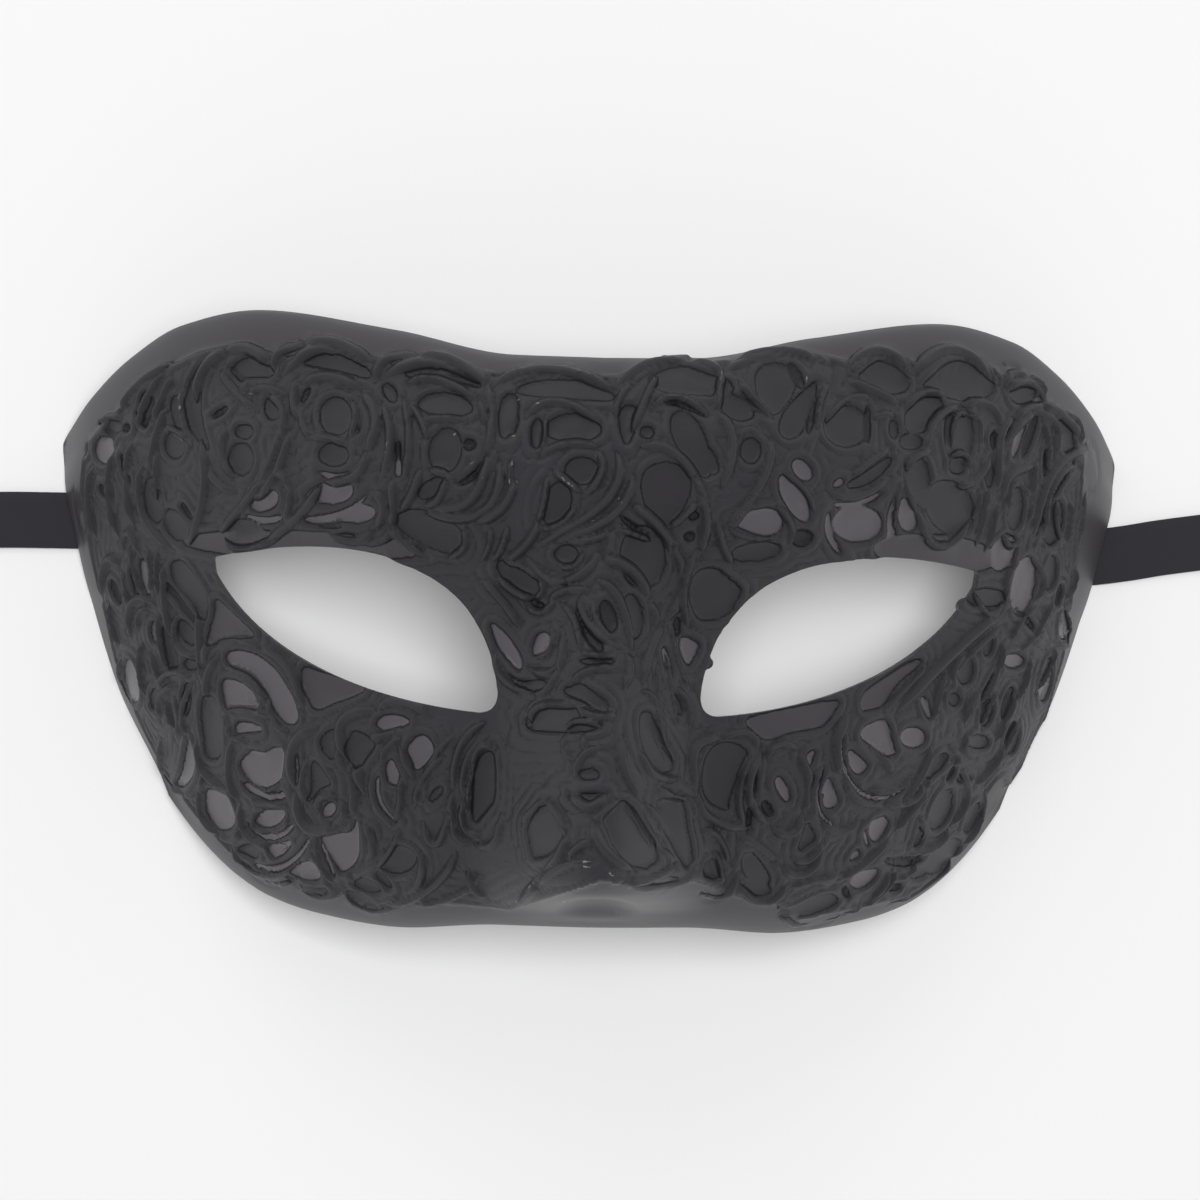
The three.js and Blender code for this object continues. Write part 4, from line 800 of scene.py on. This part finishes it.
def lay_ridge(face, line, width, edge, pane, across, height, gap):
    """Lays a round ridge over the ropes. It ends at the panes and at the border."""
    half = width * ARC_BREADTH / 2 / CHART_UNITS_PER_MM
    distance, along, at = face.line_distance(line, half + ARC_REACH)
    if at is None:
        return
    ends = np.sqrt(np.clip(np.minimum(along, 1 - along) * ARC_TAPER, ARC_LEAST_END, 1))
    half = half * ends
    bar = ARC_HEIGHT * np.sqrt(np.maximum(1 - (distance / half) ** 2, 0)) * ends
    bar = bar * np.clip(1 + edge[at] / ARC_STOPS, 0, 1) * np.clip(pane[at] / PANE_LIP + 0.5, 0, 1)
    beside = np.clip((distance - half) / ARC_SIDE, 0, 1)
    under = FIELD_LEVEL + (height[at] - FIELD_LEVEL) * beside
    kept = np.where((distance < half + ARC_SIDE) & (height[at] > FIELD_LEVEL), under, height[at])
    higher = (bar > kept) & (edge[at] > -ARC_STOPS)
    across[at] = np.where(higher, distance / half, np.maximum(across[at], 1 - np.clip(distance - half, 0, 1)))
    height[at] = np.maximum(kept, bar)
    carved = (edge[at] > -ARC_STOPS) & (pane[at] > 0)
    gap[at] = np.where(carved, np.maximum(gap[at], np.minimum(half - distance, pane[at])), gap[at])


def scuff_and_highlight_distance(face):
    nearest = np.full(face.chart_x.shape, FAR)
    for from_x, from_y, to_x, to_y in SCUFFS_AND_PAINTED_HIGHLIGHTS:
        line = np.array([(from_x, from_y), ((from_x + to_x) / 2, (from_y + to_y) / 2), (to_x, to_y)])
        distance, _, at = face.line_distance(line, SCUFF_SPAN)
        if at is not None:
            nearest[at] = np.minimum(nearest[at], distance)
    return nearest


def relief(face):
    """Height over the plain face, distance from the hollows, their gloss and painted sheen, place across the ridge,
    and scuffs with painted highlights.
    """
    gap, gloss_and_painted_sheen, floor, pane = hollows(face)
    edge = field_edge(face)
    gloss_and_painted_sheen = np.where(edge < gap, BORDER_GLOSS_AND_SHEEN, gloss_and_painted_sheen)
    gap = np.minimum(gap, edge)
    across, height = ropes(gap)
    for make_line, rows in ((scallop_line, SCALLOPS), (arc_line, ARCS)):
        for row in rows:
            lay_ridge(face, make_line(row), row[-1], edge, pane, across, height, gap)
    recess = smoothstep(-hollow_level(NOSE_RECESS, face.chart_x, face.chart_y), 0, RECESS_SLOPE)
    height = blurred(height) + floor - RECESS_DEPTH * recess
    return height, gap, gloss_and_painted_sheen, np.clip(across, 0, 1), np.clip(1 - scuff_and_highlight_distance(face) / SCUFF_REACH, 0, 1)


# ---- The dense shell: both sheets of the wall on one grid, with the eye holes cut out
FACE_COLUMNS = 620
FACE_ROWS = 240
MOST_TRIANGLES = 186000
LEVEL_WALL_NEAR_EYE = 7.0
GAP_SPAN = 3.0
EYE_STEPS = 40
LEAST_PLUMB = 0.5
# What the inner sheet has in place of gap, gloss, place across the ridge and scuffs
INNER_FINISH_AND_PAINTED_LIGHT = (0, 0.5, 0, 0)
# Eye hole: control points of its almond edge, as shares of its length and height
EYE_EDGE = [
    ([(0.495, 0.425), (0.1, 0.577), (-0.445, 0.552), (-0.5, -0.377)], EYE_STEPS),
    ([(-0.5, -0.377), (-0.498, -0.495), (-0.434, -0.5)], EYE_STEPS // 5),
    ([(-0.434, -0.5), (-0.154, -0.462), (0.316, -0.27), (0.502, 0.37)], EYE_STEPS),
]
# Drips of plastic that stand into the right eye hole: chart place and radius
EYE_DRIPS = [(729, 602, 10), (719, 618, 9), (706, 663, 6), (966, 607, 9)]


def bezier(points, steps):
    t = np.linspace(0, 1, steps, endpoint=False)[:, None]
    points = [np.array(p, float) for p in points]
    while len(points) > 1:
        points = [a + (b - a) * t for a, b in zip(points, points[1:])]
    return points[0]


def eye_outline(side):
    """The almond edge of an eye hole, in millimetres."""
    shares = np.vstack([bezier(points, steps) for points, steps in EYE_EDGE])
    x = side * (EYE_SPACING / 2 + shares[:, 0] * EYE_LENGTH)
    return np.stack([x, EYE_CENTRE_Y + shares[:, 1] * EYE_HEIGHT], -1)


def eye_distance(face):
    """Distance from the edge of the eye holes, below zero in the holes."""
    x, y = face.points[..., 0], face.points[..., 1]
    distance = np.minimum(outline_distance(eye_outline(1), x, y), outline_distance(eye_outline(-1), x, y))
    for at_x, at_y, radius in EYE_DRIPS:
        drip = radius - np.hypot(face.chart_x - at_x, face.chart_y - at_y)
        distance = np.maximum(distance, drip / CHART_UNITS_PER_MM)
    return distance


def inner_points(face, eye_gap):
    """The wall's inner side. It is level with the outer one at the temples and plumb below the eye holes' edges."""
    inner = face.points - face.normals * WALL
    plumb = face.points.copy()
    plumb[..., 2] -= WALL / np.maximum(face.normals[..., 2], LEAST_PLUMB)
    near_eye = (1 - smoothstep(np.abs(eye_gap), 1, LEVEL_WALL_NEAR_EYE))[..., None]
    inner = inner + (plumb - inner) * near_eye
    near_edge = smoothstep(np.abs(face.across), FLAT_EDGE_STARTS, 1)
    inner[..., 2] += (face.points[..., 2] - inner[..., 2]) * near_edge
    inner[..., 2] = np.maximum(inner[..., 2], 0)
    return inner


def snapped(values, level):
    """Moves the nodes beside the line where the level is zero onto it. Returns all values, and which nodes moved."""
    unmoved = 2
    best = np.full(level.shape, float(unmoved))
    moved = values.copy()
    for axis in (0, 1):
        for step in (-1, 1):
            beside = np.roll(level, -step, axis)
            crosses = (level > 0) != (beside > 0)
            edge = [slice(None)] * 2
            edge[axis] = -1 if step == 1 else 0
            crosses[tuple(edge)] = False
            t = np.where(crosses, level / np.where(level == beside, 1, level - beside), unmoved)
            better = (t <= 0.5) & (t < best)
            best = np.where(better, t, best)
            there = np.roll(values, -step, axis)
            moved = np.where(better[..., None], values + (there - values) * t[..., None], moved)
    return moved, best < unmoved


def shell_faces(keep, on_edge):
    """Quads and corner triangles of the grid that lie outside the eye holes, as node numbers."""
    columns, rows = keep.shape
    number = np.arange(columns * rows).reshape(columns, rows)
    corners = np.stack([number[:-1, :-1], number[1:, :-1], number[1:, 1:], number[:-1, 1:]], -1).reshape(-1, 4)
    fine = (keep | on_edge).ravel()[corners]
    count = fine.sum(1)
    solid = keep.ravel()[corners].any(1)
    quads = corners[(count == 4) & solid]
    triangles = corners[count == 3][fine[count == 3]].reshape(-1, 3)
    return quads, triangles


def rim_edges(faces):
    """Directed edges that only one face has."""
    edges = {}
    for face in faces:
        for a, b in zip(face, face[1:] + face[:1]):
            edges[a, b] = True
    return [(a, b) for a, b in edges if (b, a) not in edges]


def shell_mesh():
    """The whole shell as one closed mesh, with its finish and the marks of its painted light kept as colours of its
    points.
    """
    face = Face(FACE_COLUMNS, FACE_ROWS)
    height, gap, gloss_and_painted_sheen, across, scuffs_and_highlights = relief(face)
    eye_gap = eye_distance(face)
    outer = face.points + face.normals * height[..., None]
    inner = inner_points(face, eye_gap)
    finish_and_painted_light = np.stack([np.clip(0.5 + gap / GAP_SPAN, 0, 1), gloss_and_painted_sheen, across, scuffs_and_highlights], -1)
    values, on_edge = snapped(np.concatenate([outer, inner, finish_and_painted_light], -1), eye_gap)
    quads, triangles = shell_faces(eye_gap > 0, on_edge)
    sheet = quads.tolist() + triangles.tolist()
    nodes = on_edge.size
    wall = [[b, a, a + nodes, b + nodes] for a, b in rim_edges(sheet)]
    back = [[n + nodes for n in reversed(loop)] for loop in sheet]
    flat = values.reshape(nodes, -1)
    points = np.concatenate([flat[:, :3], flat[:, 3:6]]) * MM
    shades = np.concatenate([flat[:, 6:], np.tile(INNER_FINISH_AND_PAINTED_LIGHT, (nodes, 1))])
    used = np.unique(np.concatenate([np.ravel(quads), np.ravel(triangles)]))
    used = np.concatenate([used, used + nodes])
    renumber = np.zeros(2 * nodes, int)
    renumber[used] = np.arange(len(used))
    faces = [[int(renumber[n]) for n in loop] for loop in sheet + back + wall]
    return points[used], faces, shades[used]


# ---- Pieces
SHELL_SHARP_FROM = 62
RIBBON_SHARP_FROM = 40


def add_object(name, points, faces):
    mesh = bpy.data.meshes.new(name)
    mesh.from_pydata([tuple(p) for p in points], [], faces)
    mesh.validate()
    piece = bpy.data.objects.new(name, mesh)
    bpy.context.scene.collection.objects.link(piece)
    return piece


def smooth(piece, sharp_from):
    """Smooth shading, but not over edges sharper than this angle."""
    mesh = piece.data
    mesh.polygons.foreach_set("use_smooth", [True] * len(mesh.polygons))
    mesh.set_sharp_from_angle(angle=math.radians(sharp_from))


def add_shell():
    points, faces, shades = shell_mesh()
    piece = add_object("mask_shell_moulded", points, faces)
    colours = piece.data.attributes.new("finish_and_painted_light", "FLOAT_COLOR", "POINT")
    colours.data.foreach_set("color", shades.ravel())
    slim = piece.modifiers.new("slim", "DECIMATE")
    slim.ratio = MOST_TRIANGLES / sum(len(loop) - 2 for loop in faces)
    bpy.context.view_layer.objects.active = piece
    piece.select_set(True)
    bpy.ops.object.modifier_apply(modifier=slim.name)
    piece.select_set(False)
    smooth(piece, SHELL_SHARP_FROM)
    return piece


# ---- Materials. Tones from dull to bright, and what lies on them. The bright floor tone is a painted reflection
CREST_TONES = (0.021, 0.0198, 0.024), (0.028, 0.0265, 0.0318)
FLOOR_TONES_TO_PAINTED_SHEEN = (0.0149, 0.0139, 0.0173), (0.0755, 0.07, 0.0795)
# Near-black tone of the painted shade in the grooves and round the hollows
PAINTED_SHADE_TONE = (0.003, 0.003, 0.003)
WEAR_AND_HIGHLIGHT_TONE = (0.3, 0.29, 0.25)
SATIN_TONE = (0.022, 0.021, 0.026)
TABLE_TONE = (0.87, 0.87, 0.87)
CREST_ROUGHNESS = 0.54
FLOOR_ROUGHNESS = 0.5, 0.26
SATIN_ROUGHNESS = 0.42
TABLE_ROUGHNESS = 0.65
# From where to where the hollow, its rim of painted shade and its step blend, in millimetres outside its edge
HOLLOW_BLEND = 0.1, -0.12
RIM_SHADE_BLEND = 0.3, 0.06
STEP_BLEND = -0.1, 0.2
PAINTED_RIM_SHADE = 0.36
# Painted shade in the grooves between the ropes, by the place across them
GROOVE_BLEND = 0.7, 1.0
PAINTED_GROOVE_SHADE = 0.45
WORN_BLEND = 1.24, 1.34
WORN_SHARE = 0.5
FLECK_SHARE = 0.7
GLOSS_POWER = 3
# Noises: scale in waves a metre, and detail
GRAIN = 1900, 3
BLOTCH = 60, 4
FLECK = 700, 2
# Bumps: heights of what makes them up, then distance in metres and strength
SWELL_HEIGHT = -1.2
STEP_HEIGHT = 1.3
GRAIN_HEIGHT = 0.05
MOULDING_BUMP = 0.00016, 1.0
SATIN_BUMP = 0.00006, 0.4


def set_sockets(node, values):
    for socket, value in values.items():
        node.inputs[socket].default_value = value


class Steps:
    """Adds shader nodes to one node tree."""

    def __init__(self, tree):
        self.nodes, self.links = tree.nodes, tree.links

    def fill(self, socket, value):
        """Sets a socket to a number or a colour, or links it."""
        if isinstance(value, tuple):
            socket.default_value = (*value, 1)
        elif isinstance(value, (int, float)):
            socket.default_value = value
        else:
            self.links.new(value, socket)

    def map_range(self, source, blend, low=0.0, high=1.0):
        step = self.nodes.new("ShaderNodeMapRange")
        step.interpolation_type = "SMOOTHSTEP"
        set_sockets(step, {"From Min": blend[0], "From Max": blend[1], "To Min": low, "To Max": high})
        self.links.new(source, step.inputs["Value"])
        return step.outputs["Result"]

    def math(self, operation, first, second):
        node = self.nodes.new("ShaderNodeMath")
        node.operation = operation
        self.fill(node.inputs[0], first)
        self.fill(node.inputs[1], second)
        return node.outputs[0]

    def mixed(self, share, first, second):
        node = self.nodes.new("ShaderNodeMix")
        node.data_type = "RGBA"
        self.links.new(share, node.inputs["Factor"])
        self.fill(node.inputs["A"], first)
        self.fill(node.inputs["B"], second)
        return node.outputs["Result"]

    def noise(self, place, scale, detail):
        node = self.nodes.new("ShaderNodeTexNoise")
        set_sockets(node, {"Scale": scale, "Detail": detail})
        self.links.new(place, node.inputs["Vector"])
        return node.outputs["Fac"]

    def bump(self, form, shader, distance, strength):
        node = self.nodes.new("ShaderNodeBump")
        set_sockets(node, {"Distance": distance, "Strength": strength})
        self.links.new(form, node.inputs["Height"])
        self.links.new(node.outputs["Normal"], shader.inputs["Normal"])


def new_material(name):
    material = bpy.data.materials.new(name)
    material.use_nodes = True
    return material, Steps(material.node_tree), material.node_tree.nodes["Principled BSDF"]


def kept_gaps(blend):
    """Distances from a hollow's edge as the colours of the shell's points keep them, from 0 to 1."""
    return [0.5 + distance / GAP_SPAN for distance in blend]


def moulding_material():
    material, steps, shader = new_material("black_moulding")
    nodes, links = steps.nodes, steps.links
    finish_and_painted_light = nodes.new("ShaderNodeAttribute")
    finish_and_painted_light.attribute_name = "finish_and_painted_light"
    parts = nodes.new("ShaderNodeSeparateColor")
    links.new(finish_and_painted_light.outputs["Color"], parts.inputs[0])
    gap, gloss_and_painted_sheen, across = parts.outputs
    place = nodes.new("ShaderNodeTexCoord").outputs["Object"]
    grain, blotch, fleck = (steps.noise(place, *kind) for kind in (GRAIN, BLOTCH, FLECK))

    hollow = steps.map_range(gap, kept_gaps(HOLLOW_BLEND))
    gloss_share_and_painted_sheen = steps.math("POWER", gloss_and_painted_sheen, GLOSS_POWER)
    # Painted reflection: the glossier a hollow's floor, the lighter its colour is painted, besides its lower
    # roughness
    tone = steps.mixed(hollow, steps.mixed(blotch, *CREST_TONES), steps.mixed(gloss_share_and_painted_sheen, *FLOOR_TONES_TO_PAINTED_SHEEN))
    # Painted shade: the grooves between neighbouring ropes are darkened
    painted_groove_shade = steps.map_range(across, GROOVE_BLEND, 0, PAINTED_GROOVE_SHADE)
    painted_groove_shade = steps.math("MULTIPLY", painted_groove_shade, steps.math("SUBTRACT", 1, hollow))
    # Painted shade: a dark line is drawn round the edge of every hollow, where its step would cast shadow
    off_edge = steps.math("ABSOLUTE", steps.math("SUBTRACT", gap, 0.5), 0)
    rim = steps.map_range(off_edge, [distance / GAP_SPAN for distance in RIM_SHADE_BLEND], 0, PAINTED_RIM_SHADE)
    tone = steps.mixed(steps.math("MAXIMUM", painted_groove_shade, rim), tone, PAINTED_SHADE_TONE)
    # Real scuffs and flecks, and the painted highlights at the nose, are lightened towards a pale tone
    wear_and_highlights = steps.math("ADD", finish_and_painted_light.outputs["Alpha"], steps.math("MULTIPLY", fleck, FLECK_SHARE))
    tone = steps.mixed(steps.map_range(wear_and_highlights, WORN_BLEND, 0, WORN_SHARE), tone, WEAR_AND_HIGHLIGHT_TONE)
    links.new(tone, shader.inputs["Base Color"])

    rough = nodes.new("ShaderNodeMix")
    links.new(hollow, rough.inputs["Factor"])
    rough.inputs["A"].default_value = CREST_ROUGHNESS
    links.new(steps.map_range(gloss_share_and_painted_sheen, (0, 1), *FLOOR_ROUGHNESS), rough.inputs["B"])
    links.new(rough.outputs["Result"], shader.inputs["Roughness"])

    swell = steps.math("MULTIPLY", steps.math("MULTIPLY", across, across), SWELL_HEIGHT)
    form = steps.math("ADD", swell, steps.map_range(gap, kept_gaps(STEP_BLEND), 0, STEP_HEIGHT))
    form = steps.math("ADD", form, steps.math("MULTIPLY", grain, GRAIN_HEIGHT))
    steps.bump(form, shader, *MOULDING_BUMP)
    return material


def satin_material():
    material, steps, shader = new_material("black_satin")
    set_sockets(shader, {
        "Base Color": (*SATIN_TONE, 1), "Roughness": SATIN_ROUGHNESS, "Sheen Weight": 0.3, "Sheen Roughness": 0.4,
    })
    place = steps.nodes.new("ShaderNodeTexCoord")
    weave = steps.nodes.new("ShaderNodeTexWave")
    weave.bands_direction = "X"
    set_sockets(weave, {"Scale": 900, "Distortion": 0.6})
    steps.links.new(place.outputs["Object"], weave.inputs["Vector"])
    steps.bump(weave.outputs["Fac"], shader, *SATIN_BUMP)
    return material


# ---- Ribbons, laid as the CAD part lays them, in millimetres
RIBBON_WIDTH = 9.6
RIBBON_THICKNESS = 1.0
RIBBON_VISIBLE_THICKNESS = 0.5
RIBBON_GAP = 0.3
RIBBON_GLUED_LENGTH = 16
# Steps down the temple, in degrees round the head
GLUED_FROM, GLUED_TO, GLUED_STEP = TEMPLE_ANGLE - 3, 40, -3.5
# Side, height of the glued end, and how far out and how high up the free end lies
RIBBONS = {
    "ribbon_left": (-1, 16, [(5, 16), (13, 15.9), (28, 15.2), (44, 13.4), (59, 10.6)]),
    "ribbon_right": (1, 13, [(5, 13.8), (13, 15.2), (28, 17.2), (44, 18.4), (59, 18.2)]),
}
# The bend onto the table: out, height in thicknesses, and share of the turn
RIBBON_BEND = [(0.1, 2.6, 0.15), (0.8, 1.1, 0.6), (2.2, 0.5, 1)]
# Section: places across, and the thinner edges
RIBBON_ACROSS = 13
RIBBON_STEPS = 6
EDGE_FROM = 0.94
EDGE_THINNING = 0.45


def inner_point(angle, y, inset):
    outer = face_point(angle, y)
    inner = outer - face_normal(angle, y) * inset
    across = rim_at(angle, y)[0]
    inner[2] = max(inner[2] + (outer[2] - inner[2]) * smoothstep(across, FLAT_EDGE_STARTS, 1), 0)
    return inner


def ribbon_spine(side, glue_y, run):
    """Centre points and upper-face directions of a ribbon from its glued end outward."""
    inset = WALL + RIBBON_GAP + RIBBON_THICKNESS / 2
    spine = []
    for angle in np.arange(GLUED_FROM, GLUED_TO, GLUED_STEP):
        spine.insert(0, (inner_point(side * angle, glue_y, inset), face_normal(side * angle, glue_y)))
        if np.linalg.norm(spine[0][0] - spine[-1][0]) > RIBBON_GLUED_LENGTH:
            break
    foot, foot_normal = spine[-1]
    upward = np.array([0, 0, 1.0])
    for out, height, turned in RIBBON_BEND:
        normal = foot_normal + (upward - foot_normal) * turned
        place = np.array([foot[0] + side * out, glue_y, height * RIBBON_THICKNESS])
        spine.append((place, normal / np.linalg.norm(normal)))
    edge_x = face_point(side * TEMPLE_ANGLE, glue_y)[0]
    for out, y in run:
        spine.append((np.array([edge_x + side * out, y, RIBBON_THICKNESS / 2]), upward))
    return spine


def smooth_line(points):
    """Catmull-Rom line through points."""
    points = np.array(points)
    padded = np.vstack([2 * points[0] - points[1], points, 2 * points[-1] - points[-2]])
    line = []
    for a, b, c, d in zip(padded, padded[1:], padded[2:], padded[3:]):
        for t in np.linspace(0, 1, RIBBON_STEPS, endpoint=False):
            line.append(
                0.5 * (2 * b + (c - a) * t + (2 * a - 5 * b + 4 * c - d) * t * t + (3 * b - a - 3 * c + d) * t**3)
            )
    line.append(points[-1])
    return np.array(line)


def unit(vectors):
    return vectors / np.linalg.norm(vectors, axis=1, keepdims=True)


def add_ribbon(name):
    side, glue_y, run = RIBBONS[name]
    spine = ribbon_spine(side, glue_y, run)
    line = smooth_line([p for p, _ in spine])
    up = smooth_line([n for _, n in spine])
    half, lift = RIBBON_WIDTH / 2, RIBBON_VISIBLE_THICKNESS / 2
    line[:, 2] = np.maximum(line[:, 2], lift)
    along = unit(np.gradient(line, axis=0))
    aside = unit(np.cross(along, up))
    up = np.cross(aside, along)
    across = np.linspace(-1, 1, RIBBON_ACROSS)
    upper = [(a * half, lift * (1 - EDGE_THINNING * (abs(a) > EDGE_FROM))) for a in across]
    ring = upper + [(a, -b) for a, b in upper[::-1]]
    count = len(ring)
    points, faces = [], []
    for centre, sideways, face_up in zip(line, aside, up):
        points += [(centre + sideways * a + face_up * b) * MM for a, b in ring]
    for i in range(len(line) - 1):
        for k in range(count):
            n = (k + 1) % count
            faces.append([i * count + k, i * count + n, (i + 1) * count + n, (i + 1) * count + k])
    faces.append(list(range(count))[::-1])
    faces.append([(len(line) - 1) * count + k for k in range(count)])
    piece = add_object(name + "_satin", points, faces)
    smooth(piece, RIBBON_SHARP_FROM)
    length = np.linalg.norm(np.diff(line, axis=0), axis=1).sum()
    leaves_at = spine[-len(run) - 1][0]
    return piece, line * MM, length * MM, leaves_at * MM


# ---- Room, light and camera, in metres and watts
FLOOR_HALF = 3
FLOOR_DROP = 0.0002
LIT_PLACE = (0, 0, 0.03)
# Light from below, from the level and from above, as places on the ramp and brightness
WORLD_RAMP = (0.0, 1.9), (0.5, 0.85), (1.0, 0.42)
WORLD_STRENGTH = 0.5


def add_floor():
    corners = [(x * FLOOR_HALF, y * FLOOR_HALF, 0) for x, y in ((-1, -1), (1, -1), (1, 1), (-1, 1))]
    floor = add_object("floor", corners, [[0, 1, 2, 3]])
    material, _, shader = new_material("pale_floor")
    set_sockets(shader, {"Base Color": (*TABLE_TONE, 1), "Roughness": TABLE_ROUGHNESS})
    floor.data.materials.append(material)
    floor.location.z = -FLOOR_DROP


def add_softbox(name, at, size, power, mirrored=True):
    light = bpy.data.lights.new(name, "AREA")
    light.shape = "RECTANGLE"
    light.size, light.size_y = size
    light.energy = power
    box = bpy.data.objects.new(name, light)
    box.location = at
    box.rotation_euler = (Vector(LIT_PLACE) - Vector(at)).to_track_quat("-Z", "Y").to_euler()
    box.visible_glossy = mirrored
    bpy.context.scene.collection.objects.link(box)


def add_room_light():
    world = bpy.data.worlds.new("studio")
    bpy.context.scene.world = world
    world.use_nodes = True
    nodes, links = world.node_tree.nodes, world.node_tree.links
    place = nodes.new("ShaderNodeTexCoord")
    parts = nodes.new("ShaderNodeSeparateXYZ")
    ramp = nodes.new("ShaderNodeValToRGB")
    stops = ramp.color_ramp.elements
    stops.new(0.5)
    for stop, (at, brightness) in zip(stops, WORLD_RAMP):
        stop.position = at
        stop.color = (brightness, brightness, brightness, 1)
    links.new(place.outputs["Generated"], parts.inputs[0])
    links.new(parts.outputs["Z"], ramp.inputs[0])
    links.new(ramp.outputs["Color"], nodes["Background"].inputs["Color"])
    nodes["Background"].inputs["Strength"].default_value = WORLD_STRENGTH


def add_camera():
    camera = bpy.data.cameras.new("camera")
    camera.sensor_width = SENSOR_MM
    camera.sensor_fit = "HORIZONTAL"
    camera.lens = FOCAL_UNITS / CHART_SIZE * SENSOR_MM
    camera.clip_start = 0.01
    right, up, backward = camera_axes()
    place = bpy.data.objects.new("camera", camera)
    turn = Matrix(np.stack([right, up, backward], 1).tolist()).to_4x4()
    place.matrix_world = Matrix.Translation(CAMERA_AT * MM) @ turn
    bpy.context.scene.collection.objects.link(place)
    bpy.context.scene.camera = place


add_camera()
satin = satin_material()
for name in RIBBONS:
    ribbon, path, length, leaves_at = add_ribbon(name)
    ribbon.data.materials.append(satin)
    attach(ribbon, "root")
    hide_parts(name)

shell = add_shell()
shell.data.materials.append(moulding_material())
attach(shell, "root")
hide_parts("mask_shell")

add_floor()
add_room_light()
add_softbox("softbox_above", (0.03, 0.1, 1.4), (0.45, 0.45), 13.6, mirrored=False)
add_softbox("softbox_brow", (-0.3, 0.9, 1.0), (0.9, 0.6), 2)
bpy.context.scene.view_settings.view_transform = "Standard"
